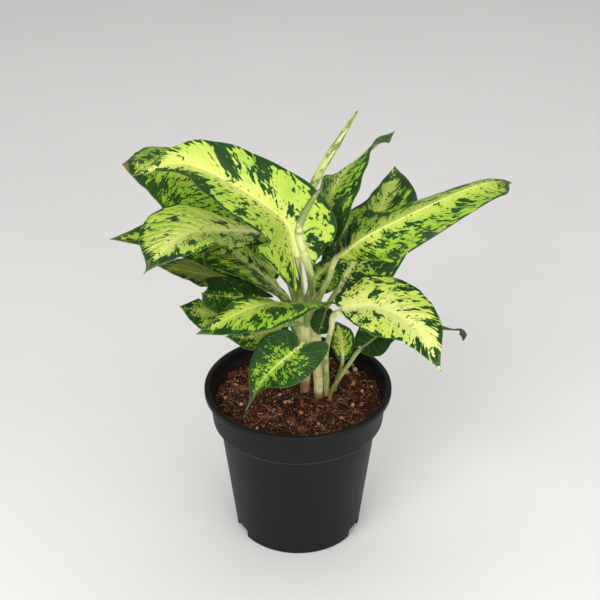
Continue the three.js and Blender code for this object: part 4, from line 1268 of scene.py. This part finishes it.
def build_leaves(context, large):
    """The leaves of one size, all of one skin."""
    settings, stems = context.scene.plant_leaves, context.scene.plant_stems
    skin = bpy.data.materials.get("leaf_skin") or leaf_material(settings)
    stalk = bpy.data.materials.get("petiole_skin") or petiole_material(settings, stems)
    for index, name in enumerate(LEAVES):
        if is_large(LEAVES[name]) == large:
            leaf_piece(name, index, settings, [skin, stalk])
    return {"FINISHED"}


# ---------------------------------------------------------------- pot and soil shapes


def rounded(profile, radius, steps=4):
    """A profile whose corners are rounded, each by at most the given radius."""
    out = [profile[0]]
    for before, corner, after in zip(profile, profile[1:], profile[2:]):
        a, b, c = Vector(before), Vector(corner), Vector(after)
        reach = min(radius, 0.45 * (a - b).length, 0.45 * (c - b).length)
        start, end = b + (a - b).normalized() * reach, b + (c - b).normalized() * reach
        for i in range(steps + 1):
            t = i / steps
            out.append(tuple((1 - t) ** 2 * start + 2 * t * (1 - t) * b + t * t * end))
    return out + [profile[-1]]


def pot_profile():
    """The pot's section as radius and height, from the middle of its underside."""
    lip_bottom = POT_HEIGHT - LIP_HEIGHT
    lip_inner = RIM_RADIUS - LIP_WIDTH
    return rounded([
        (0, 0), (FOOT_RADIUS - 0.2, 0), (WALL_TOP_RADIUS, COLLAR_BOTTOM_Z - 0.5),
        (COLLAR_BOTTOM_RADIUS, COLLAR_BOTTOM_Z), (COLLAR_TOP_RADIUS, lip_bottom),
        (RIM_RADIUS, lip_bottom), (RIM_RADIUS, POT_HEIGHT), (lip_inner, POT_HEIGHT),
        (COLLAR_TOP_RADIUS - WALL_THICKNESS, lip_bottom - 1),
        (COLLAR_BOTTOM_RADIUS - WALL_THICKNESS, COLLAR_BOTTOM_Z + 1.5),
        (WALL_TOP_RADIUS - WALL_THICKNESS, COLLAR_BOTTOM_Z - 1.5),
        (FOOT_RADIUS - WALL_THICKNESS, FLOOR_THICKNESS), (0, FLOOR_THICKNESS),
    ], CORNER_RADIUS)


BOX_FACES = [(0, 1, 3, 2), (4, 6, 7, 5), (0, 4, 5, 1), (2, 3, 7, 6), (0, 2, 6, 4), (1, 5, 7, 3)]


def notch_cutter(degrees):
    """A block across the corner of wall and floor, turned to its place round the pot."""
    c, s = math.cos(math.radians(degrees)), math.sin(math.radians(degrees))
    corners = [
        (x * c - y * s, x * s + y * c, z) for x in (NOTCH_INNER_RADIUS, NOTCH_OUTER_RADIUS)
        for y in (-NOTCH_WIDTH / 2, NOTCH_WIDTH / 2) for z in (-NOTCH_HEIGHT, NOTCH_HEIGHT)]
    return make_piece("notch_cutter", corners, BOX_FACES, [])


def cut(piece, cutter):
    """Cuts the cutter out of the piece and removes the cutter."""
    step = piece.modifiers.new("notch", "BOOLEAN")
    step.operation, step.solver, step.object = "DIFFERENCE", "EXACT", cutter
    graph = bpy.context.evaluated_depsgraph_get()
    mesh = bpy.data.meshes.new_from_object(piece.evaluated_get(graph))
    piece.modifiers.clear()
    old, piece.data = piece.data, mesh
    bpy.data.meshes.remove(old)
    bpy.data.objects.remove(cutter)


def sharpen(piece, degrees):
    """Edges steeper than this stay crisp under smooth shading."""
    mesh = piece.data
    mesh.polygons.foreach_set("use_smooth", [True] * len(mesh.polygons))
    mesh.set_sharp_from_angle(angle=math.radians(degrees))


def soil_height(x, y):
    r = math.hypot(x, y) / SOIL_RADIUS
    relief = sum(a * math.sin(kx * x + ky * y + shift) for a, kx, ky, shift in SOIL_WAVES)
    return SOIL_Z + 0.8 * relief - SOIL_EDGE_DROP * r ** 4


def crumbly(x, y):
    """Soil height with clods and crumbs."""
    clods = noise.fractal(Vector((x / 7, y / 7, 3.1)), 0.9, 2.1, 4)
    crumbs = noise.fractal(Vector((x / 2.1, y / 2.1, 8.7)), 0.8, 2.0, 3)
    return soil_height(x, y) + 1.5 * clods + 0.6 * crumbs


def ico_sphere(rings):
    """Points and triangles of a unit icosahedron, split once if rings is 2."""
    g = (1 + 5 ** 0.5) / 2
    points = [(-1, g, 0), (1, g, 0), (-1, -g, 0), (1, -g, 0), (0, -1, g), (0, 1, g),
              (0, -1, -g), (0, 1, -g), (g, 0, -1), (g, 0, 1), (-g, 0, -1), (-g, 0, 1)]
    faces = [(0, 11, 5), (0, 5, 1), (0, 1, 7), (0, 7, 10), (0, 10, 11), (1, 5, 9), (5, 11, 4),
             (11, 10, 2), (10, 7, 6), (7, 1, 8), (3, 9, 4), (3, 4, 2), (3, 2, 6), (3, 6, 8),
             (3, 8, 9), (4, 9, 5), (2, 4, 11), (6, 2, 10), (8, 6, 7), (9, 8, 1)]
    points = [Vector(p).normalized() for p in points]
    for _ in range(rings - 1):
        middles, split = {}, []

        def middle(a, b):
            key = (min(a, b), max(a, b))
            if key not in middles:
                points.append((points[a] + points[b]).normalized())
                middles[key] = len(points) - 1
            return middles[key]

        for a, b, c in faces:
            ab, bc, ca = middle(a, b), middle(b, c), middle(c, a)
            split += [(a, ab, ca), (b, bc, ab), (c, ca, bc), (ab, bc, ca)]
        faces = split
    return np.array([tuple(p) for p in points]), np.array(faces)


def turned(draw):
    """A random turn as a 3 by 3 matrix."""
    q = np.array([draw.gauss(0, 1) for _ in range(4)])
    w, x, y, z = q / np.linalg.norm(q)
    return np.array([
        [1 - 2 * (y * y + z * z), 2 * (x * y - z * w), 2 * (x * z + y * w)],
        [2 * (x * y + z * w), 1 - 2 * (x * x + z * z), 2 * (y * z - x * w)],
        [2 * (x * z - y * w), 2 * (y * z + x * w), 1 - 2 * (x * x + y * y)],
    ])


def lump(draw, shape, size, stretch, rough):
    """An uneven lump: a jittered ball, stretched and turned."""
    points, faces = shape
    scale = np.array([1.0, draw.uniform(*stretch), draw.uniform(*stretch)])
    jitter = np.array([draw.uniform(1 - rough, 1 + rough) for _ in points])[:, None]
    return (points * jitter * scale * size) @ turned(draw).T, faces


def somewhere(draw, reach, turn=2 * math.pi):
    """A random place on the soil within this reach of its middle."""
    radius = reach * math.sqrt(draw.random())
    angle = draw.uniform(0, turn)
    return radius * math.cos(angle), radius * math.sin(angle)


class Heap:
    """Collects many small bodies for one mesh."""

    def __init__(self):
        self.points, self.faces, self.tones, self.count = [], [], [], 0

    def add(self, points, faces, tone):
        self.points.append(points)
        self.faces += [tuple(int(i) + self.count for i in f) for f in faces]
        self.tones += [(*tone, 0, 1)] * len(points)
        self.count += len(points)

    def lay(self, body, x, y, lift, tone):
        """Adds a body that lies this high over the soil."""
        points, faces = body
        self.add(points + np.array((x, y, crumbly(x, y) + lift)), faces, tone)

    def dressed(self, name, material):
        points = np.vstack(self.points)
        dress(make_piece(name, points, self.faces, [material], tone=self.tones), "soil")


# ---------------------------------------------------------------- operators


class PLANT_OT_pot(bpy.types.Operator):
    """Builds the nursery pot with its rim, collar and drainage notches"""

    bl_idname = "plant.pot"
    bl_label = "Pot"

    def execute(self, context):
        pot = context.scene.plant_pot
        profile, sides = pot_profile(), pot.segments
        turn, ring = angles(sides), np.array(profile[1:-1])
        heights = ring[:, 1:] * (pot.height / MM / POT_HEIGHT)
        points = np.stack([
            ring[:, :1] * np.cos(turn), ring[:, :1] * np.sin(turn),
            np.repeat(heights, sides, axis=1)], axis=-1).reshape(-1, 3)
        ends = np.array([(0, 0, profile[0][1]), (0, 0, profile[-1][1])])
        piece = make_piece("nursery_pot", np.vstack([points, ends]),
                           ring_faces(len(ring), sides), [pot_material(pot)])
        for degrees in NOTCH_ANGLES:
            cut(piece, notch_cutter(degrees))
        sharpen(piece, CRISP_ANGLE)
        dress(piece, "pot", "pot")
        return {"FINISHED"}


class PLANT_OT_soil(bpy.types.Operator):
    """Builds the body of coco peat with its uneven top"""

    bl_idname = "plant.soil"
    bl_label = "Soil"

    RINGS, SECTORS = 84, 260
    # How far the crumbs rise over the even soil, and how bright the hollows still are under the
    # painted shade.
    CRUMB_RISE, HOLLOW = 1.8, 0.3
    # Radius and height of the buried rings, clear of the pot's wall.
    BURIED = (
        (FOOT_RADIUS - 4.3, SOIL_FLOOR_Z),
        (FOOT_RADIUS + (WALL_TOP_RADIUS - FOOT_RADIUS) * 80 / COLLAR_BOTTOM_Z - 2.6, 80),
        (COLLAR_BOTTOM_RADIUS - 2.4, 92),
    )

    def execute(self, context):
        turn = angles(self.SECTORS)
        points, tones = [], []
        for radius, z in self.BURIED:
            points += [(radius * math.cos(a), radius * math.sin(a), z) for a in turn]
            tones += [(0, 0, 0, 1)] * self.SECTORS
        for k in range(self.RINGS, 0, -1):
            radius = SOIL_RADIUS * k / self.RINGS
            for a in turn:
                x, y = radius * math.cos(a), radius * math.sin(a)
                z = crumbly(x, y)
                # Painted light and shade: points above the even soil are paler, those below darker.
                raised = (z - soil_height(x, y)) / self.CRUMB_RISE + self.HOLLOW
                points.append((x, y, z))
                tones.append((0.3, min(1, max(0, raised)), 0, 1))
        points += [(0, 0, SOIL_FLOOR_Z), (0, 0, crumbly(0, 0))]
        tones += [(0, 0, 0, 1), (0.3, 0.4, 0, 1)]
        faces = ring_faces(self.RINGS + len(self.BURIED), self.SECTORS)
        peat = peat_material(context.scene.plant_soil, "coco_peat", 0.55)
        dress(make_piece("peat_body", points, faces, [peat], tone=tones), "soil", "soil")
        return {"FINISHED"}


class PLANT_OT_soil_litter(bpy.types.Operator):
    """Scatters crumbs, coir fibres, chips and feed beads on the soil"""

    bl_idname = "plant.soil_litter"
    bl_label = "Soil litter"

    # Half sizes of crumbs: the usual one, its spread, the largest, and where one counts as large.
    CRUMB_SIZE, CRUMB_SPREAD, LARGEST_CRUMB, LARGE_CRUMB = 0.3, 0.58, 2.0, 0.9
    GRIT_SIZES = (0.25, 0.65)
    FIBRE_STEPS, FIBRE_RADII, FIBRE_LIFTS = (0.7, 2.2), (0.06, 0.14), (0.2, 1.2)

    def execute(self, context):
        soil = context.scene.plant_soil
        draw = random.Random(LITTER_SEED)
        small, fine = ico_sphere(1), ico_sphere(2)
        self.crumbs(soil, draw, small, fine)
        self.fibres(soil, draw)
        self.beads(soil, draw, small, fine)
        self.chips(soil, draw, fine)
        return {"FINISHED"}

    def crumbs(self, soil, draw, small, fine):
        """Peat crumbs, most of them small and a few large."""
        heap = Heap()
        for _ in range(soil.crumbs):
            x, y = somewhere(draw, SOIL_RADIUS - 1.2)
            size = self.CRUMB_SIZE * math.exp(draw.gauss(0.08, self.CRUMB_SPREAD))
            size = min(self.LARGEST_CRUMB, size)
            large = size >= self.LARGE_CRUMB
            body = lump(draw, fine if large else small, size, (0.4, 1.0), 0.34)
            lift = draw.uniform(0, 0.5) * size
            tint = draw.uniform(0, 0.6) if large else draw.random()
            heap.lay(body, x, y, lift, (tint, draw.uniform(0.0, 1.0)))
        heap.dressed("peat_crumbs", peat_material(soil, "peat_crumb", 0.9))

    def fibres(self, soil, draw):
        """Thin curled fibres, paler and darker."""
        heap = Heap()
        for _ in range(soil.fibres):
            points, faces = self.fibre(draw)
            heap.add(points, faces, (draw.uniform(0, 1) ** 2, 1))
        stain = tuple(0.5 * c for c in soil.fibre)
        heap.dressed("coir_fibres", litter_material(soil, "coir", soil.fibre, stain))

    def beads(self, soil, draw, small, fine):
        """Feed beads at their places, and grit between them."""
        heap = Heap()
        for x, y, size in BEADS:
            body = lump(draw, fine, size, (0.75, 1.0), 0.06)
            heap.lay(body, x, y, 0.5 * size, (draw.uniform(0, 0.3), 1))
        for _ in range(GRIT_COUNT):
            x, y = somewhere(draw, SOIL_RADIUS * 0.94, TURN)
            size = draw.uniform(*self.GRIT_SIZES)
            body = lump(draw, small, size, (0.6, 1.0), 0.15)
            heap.lay(body, x, y, 0.6 * size, (draw.uniform(0.0, 0.5), 1))
        stain = tuple(0.55 * c for c in soil.bead)
        heap.dressed("feed_beads", litter_material(soil, "feed_bead", soil.bead, stain))

    def chips(self, soil, draw, fine):
        """Flat chips of husk at their places."""
        heap = Heap()
        for x, y, size, stained in CHIPS:
            points, faces = lump(draw, fine, size * 0.8, (0.35, 0.7), 0.14)
            flat = points * np.array((1, 1, 0.55))
            heap.lay((flat, faces), x, y, 0.25 * size, (stained, 1))
        heap.dressed("husk_chips", litter_material(soil, "husk_chip", HUSK, HUSK_STAIN))

    def fibre(self, draw, sides=5):
        """A thin curled fibre that lies on the soil."""
        x, y = somewhere(draw, SOIL_RADIUS - 5)
        heading, bend = draw.uniform(0, TURN), draw.gauss(0, 0.07)
        step = draw.uniform(*self.FIBRE_STEPS)
        thick = draw.uniform(*self.FIBRE_RADII)
        lift = draw.uniform(*self.FIBRE_LIFTS)
        path = []
        count = draw.randint(6, 9)
        for k in range(count):
            arch = lift * math.sin(math.pi * k / (count - 1))
            if math.hypot(x, y) > SOIL_RADIUS - 1:
                x, y = x * 0.97, y * 0.97
            path.append((x, y, crumbly(x, y) + 0.25 + arch))
            heading += bend + draw.gauss(0, 0.14)
            x, y = x + step * math.cos(heading), y + step * math.sin(heading)
        _, centres, side, other = tube_axis(path, 2 * count - 1)
        points = []
        for k, centre in enumerate(centres):
            size = thick * (0.35 + 0.65 * math.sin(math.pi * (k + 0.5) / len(centres)))
            points += [centre + size * (side[k] * math.cos(a) + other[k] * math.sin(a))
                       for a in angles(sides)]
        points += [centres[0], centres[-1]]
        return np.array(points), ring_faces(len(centres), sides)


class PLANT_OT_canes(bpy.types.Operator):
    """Builds the two fleshy canes with their leaf scars"""

    bl_idname = "plant.canes"
    bl_label = "Canes"

    ROW_STEP, SIDES = 0.9, 40
    LOWEST_SCAR_Z, HIGHEST_SCAR_Z = 108.0, 182
    # Heights where the corky brown of each cane ends and where it is full.
    BARK_Z = {"cane_left": (124, 108), "cane_right": (110, 104)}

    def execute(self, context):
        stems = context.scene.plant_stems
        material = cane_material(stems)
        for index, (name, given) in enumerate(CANES.items()):
            scars = self.scars(stems, random.Random(CANE_SEED + index))
            rows = round(curve_length([p[:3] for p in given]) / self.ROW_STEP)
            _, centres, side, other, radii = tube_axis(given, rows, 3)
            points, tones = [], []
            for k, centre in enumerate(centres):
                foot = float(smooth_step(centre[2], *self.BARK_Z[name]))
                for a in angles(self.SIDES):
                    swell, ring = self.scar_relief(scars, centre[2], a)
                    at = centre * 0.16 + (2 * math.cos(a), 2 * math.sin(a), 0)
                    rough = 0.03 * noise.fractal(Vector(at), 1.0, 2.0, 3)
                    size = radii[k] * (1 + swell + rough)
                    points.append(centre + size * (side[k] * math.cos(a) + other[k] * math.sin(a)))
                    tones.append((ring, foot, 0.25, 1))
            points += [centres[0], centres[-1]]
            tones += [(0, 1, 0, 1), (0, 0, 0, 1)]
            faces = ring_faces(rows + 1, self.SIDES)
            dress(make_piece("stem_" + name[5:], points, faces, [material], tone=tones),
                  "cane", name)
        return {"FINISHED"}

    def scars(self, stems, draw):
        """Leaf scars up the cane: height, tilt and the way it tilts."""
        found, z = [], self.LOWEST_SCAR_Z
        while z < self.HIGHEST_SCAR_Z:
            found.append((z, draw.uniform(-0.5, 0.5), draw.uniform(0, TURN)))
            z += stems.ring_step / MM * draw.uniform(0.75, 1.2)
        return found

    def scar_relief(self, scars, z, angle):
        """How far the cane swells at a point, and how brown its ring is there."""
        swell, ring = 0.0, 0.0
        for height, tilt, phase in scars:
            gap = z - height - 1.5 * tilt * math.cos(angle - phase)
            swell += 0.04 * bell(gap, 0, 0.9) - 0.035 * bell(gap, 2.4, 1.6)
            ring = max(ring, bell(gap, 0.7, 0.45))
        return swell, ring


class PLANT_OT_spears(bpy.types.Operator):
    """Builds the two rolled new leaves"""

    bl_idname = "plant.spears"
    bl_label = "Rolled leaves"

    ROW_STEP, SIDES = 1.2, 36
    # Where round the roll its outer edge lies, and how far that turns up the roll.
    SEAMS, SEAM_TWIST = {"spear_tall": 0.9, "spear_short": 2.6}, 0.9
    # On the short one: where its green foot fades, its joints (height, width, strength), the
    # ridge where the stalk ends, and where the olive roll begins.
    GREEN_Z, OLIVE_Z = (236, 206), (262, 269)
    JOINTS = ((261, 1.1, 1.0), (247, 0.8, 0.6))
    RIDGE_Z, RIDGE_WIDTH, RIDGE_RISE = 236, 1.1, 0.06

    def execute(self, context):
        material = spear_material(context.scene.plant_stems)
        for name, given in SPEARS.items():
            tall = name == "spear_tall"
            length = curve_length([p[:3] for p in given])
            rows = round(length / self.ROW_STEP)
            shares, centres, side, other, radii = tube_axis(given, rows, 3)
            radii *= np.clip((1.02 - shares) / 0.05, 0.12, 1) ** 0.6
            points, tones, uvs = [], [], []
            for k, centre in enumerate(centres):
                for i in range(self.SIDES):
                    share = i / (self.SIDES - 1)
                    # The roll's outer edge lies over its start as a small step.
                    a = 2 * math.pi * share + self.SEAMS[name] + self.SEAM_TWIST * shares[k]
                    size = radii[k] * (0.9 + 0.1 * share)
                    if not tall:
                        ridge = bell(centre[2], self.RIDGE_Z, self.RIDGE_WIDTH)
                        size *= 1 + self.RIDGE_RISE * ridge
                    points.append(centre + size * (side[k] * math.cos(a) + other[k] * math.sin(a)))
                    edge = max(bell(share, 0.93, 0.06), bell(share, 0.03, 0.05))
                    tones.append(self.tall_tone(shares[k], edge) if tall
                                 else self.short_tone(centre[2], edge))
                    uvs.append((share, shares[k] * length / UV_SCALE))
            points += [centres[0], centres[-1]]
            tones += [(0, 0, 1, 0), (0, 0, 0, 1)]
            uvs += [(0, 0), (0, length / UV_SCALE)]
            piece = make_piece("rolled_" + name, points, ring_faces(rows + 1, self.SIDES),
                               [material], tone=tones, uvs={"leaf": uvs})
            dress(piece, "new_leaf", name)
        return {"FINISHED"}

    def tall_tone(self, share, edge):
        """Dark edge, patches, cream foot and browned tip."""
        tip = float(smooth_step(share, 0.96, 1.0))
        return edge, 0.34 + 0.24 * share ** 2, 0.5 * (share < 0.15), tip

    def short_tone(self, z, edge):
        """Green foot, cream stalk with brown joint rings, and olive roll."""
        olive = float(smooth_step(z, *self.OLIVE_Z))
        green = float(smooth_step(z, *self.GREEN_Z))
        joint = sum(strength * bell(z, height, width) for height, width, strength in self.JOINTS)
        patch = 0.38 + 0.34 * olive + 0.28 * green
        cream = 0.4 * (1 - olive) * (1 - 0.7 * green)
        return edge * (0.4 + 0.6 * olive), patch, cream, max(0.2 * olive, 0.7 * joint)


class PLANT_OT_large_leaves(bpy.types.Operator):
    """Builds the large variegated leaves"""

    bl_idname = "plant.large_leaves"
    bl_label = "Large leaves"

    def execute(self, context):
        return build_leaves(context, True)


class PLANT_OT_small_leaves(bpy.types.Operator):
    """Builds the small and young leaves"""

    bl_idname = "plant.small_leaves"
    bl_label = "Small leaves"

    def execute(self, context):
        return build_leaves(context, False)


class PLANT_OT_withered_end(bpy.types.Operator):
    """Builds the crumpled dry end of the low right leaf's tail"""

    bl_idname = "plant.withered_end"
    bl_label = "Withered end"

    ROWS, SIDES = 26, 14

    def execute(self, context):
        skin = litter_material(
            context.scene.plant_soil, "withered_skin", DRY_TISSUE, DRY_STAIN)
        draw = random.Random(WITHERED_SEED)
        shares, centres, side, other, wide, thick = tube_axis(WITHERED_END, self.ROWS, 3, 4)
        points, tones = [], []
        for k, centre in enumerate(centres):
            twist = 2.4 * shares[k]
            for a in angles(self.SIDES):
                crease = 1 + 0.22 * math.sin(3 * a + 4 * shares[k]) + draw.uniform(-0.08, 0.08)
                x, y = wide[k] * crease * math.cos(a), thick[k] * crease * math.sin(a)
                points.append(centre + side[k] * (x * math.cos(twist) - y * math.sin(twist))
                              + other[k] * (x * math.sin(twist) + y * math.cos(twist)))
                tones.append((0.05 * draw.random(), 0, 0, 0))
        points += [centres[0], centres[-1]]
        tones += [(0, 0, 0, 0)] * 2
        faces = ring_faces(self.ROWS + 1, self.SIDES)
        dress(make_piece("withered_end", points, faces, [skin], tone=tones), "leaf")
        return {"FINISHED"}


def area_light(name, place, size, power, target_height):
    """A square soft light that looks at the plant at this height."""
    lamp = bpy.data.lights.new(name, "AREA")
    lamp.shape, lamp.size, lamp.energy = "SQUARE", size, power
    made = bpy.data.objects.new(name, lamp)
    made.location = place
    way = Vector((0, 0, target_height)) - Vector(place)
    made.rotation_euler = way.to_track_quat("-Z", "Y").to_euler()
    bpy.context.scene.collection.objects.link(made)


class PLANT_OT_stage(bpy.types.Operator):
    """Sets the pale floor, the soft lights and the camera"""

    bl_idname = "plant.stage"
    bl_label = "Stage"

    FLOOR_REACH = 4000
    CAMERA_PLACE = (0.0014, -0.870, 0.691)
    CAMERA_PITCH = 30.32
    SENSOR_WIDTH = 36
    SKY = (1.0, 0.995, 0.985, 1)
    # Place and size of each light in metres, and the height on the plant that it looks at.
    LIGHTS = {
        "key": ((-0.6, -1.1, 1.1), 0.9, 0.18),
        "fill": ((0.85, -1.0, 0.9), 1.2, 0.15),
        "front": ((0.35, -1.45, 0.5), 1.0, 0.14),
        "top": ((0.1, 0.4, 1.5), 1.2, 0.2),
    }

    def execute(self, context):
        scene, stage = context.scene, context.scene.plant_stage
        reach = self.FLOOR_REACH
        corners = [(-reach, -reach, 0), (reach, -reach, 0), (reach, reach, 0), (-reach, reach, 0)]
        floor = make_piece("floor", corners, [(0, 1, 2, 3)], [floor_material(stage)])
        for name, (place, size, target_height) in self.LIGHTS.items():
            area_light(name, place, size, getattr(stage, name), target_height)
        world = bpy.data.worlds.new("sky")
        world.use_nodes = True
        back = world.node_tree.nodes["Background"]
        back.inputs["Color"].default_value = self.SKY
        back.inputs["Strength"].default_value = stage.sky
        scene.world = world
        scene.view_settings.view_transform = "Standard"
        lens = bpy.data.cameras.new("camera")
        lens.lens, lens.sensor_width = stage.lens, self.SENSOR_WIDTH
        camera = bpy.data.objects.new("camera", lens)
        camera.location = self.CAMERA_PLACE
        camera.rotation_euler = (math.radians(90 - self.CAMERA_PITCH), 0, 0)
        scene.collection.objects.link(camera)
        scene.camera = camera
        return {"FINISHED"}


class PLANT_PT_panel(bpy.types.Panel):
    """The plant's pieces in the sidebar"""

    bl_idname = "PLANT_PT_panel"
    bl_label = "Potted dieffenbachia"
    bl_space_type = "VIEW_3D"
    bl_region_type = "UI"
    bl_category = "Plant"

    def draw(self, context):
        for operator in OPERATORS:
            self.layout.operator(operator.bl_idname)


OPERATORS = (
    PLANT_OT_stage, PLANT_OT_pot, PLANT_OT_soil, PLANT_OT_soil_litter, PLANT_OT_canes,
    PLANT_OT_spears, PLANT_OT_large_leaves, PLANT_OT_small_leaves, PLANT_OT_withered_end,
)
SETTINGS = {
    "plant_pot": PlantPotSettings,
    "plant_soil": PlantSoilSettings,
    "plant_stems": PlantStemSettings,
    "plant_leaves": PlantLeafSettings,
    "plant_stage": PlantStageSettings,
}
CLASSES = (*SETTINGS.values(), *OPERATORS, PLANT_PT_panel)


def register():
    for made in CLASSES:
        bpy.utils.register_class(made)
    for name, group in SETTINGS.items():
        setattr(bpy.types.Scene, name, PointerProperty(type=group))


def unregister():
    for name in SETTINGS:
        delattr(bpy.types.Scene, name)
    for made in reversed(CLASSES):
        bpy.utils.unregister_class(made)


def main():
    register()
    for operator in OPERATORS:
        family, name = operator.bl_idname.split(".")
        getattr(getattr(bpy.ops, family), name)()


if __name__ == "__main__":
    main()
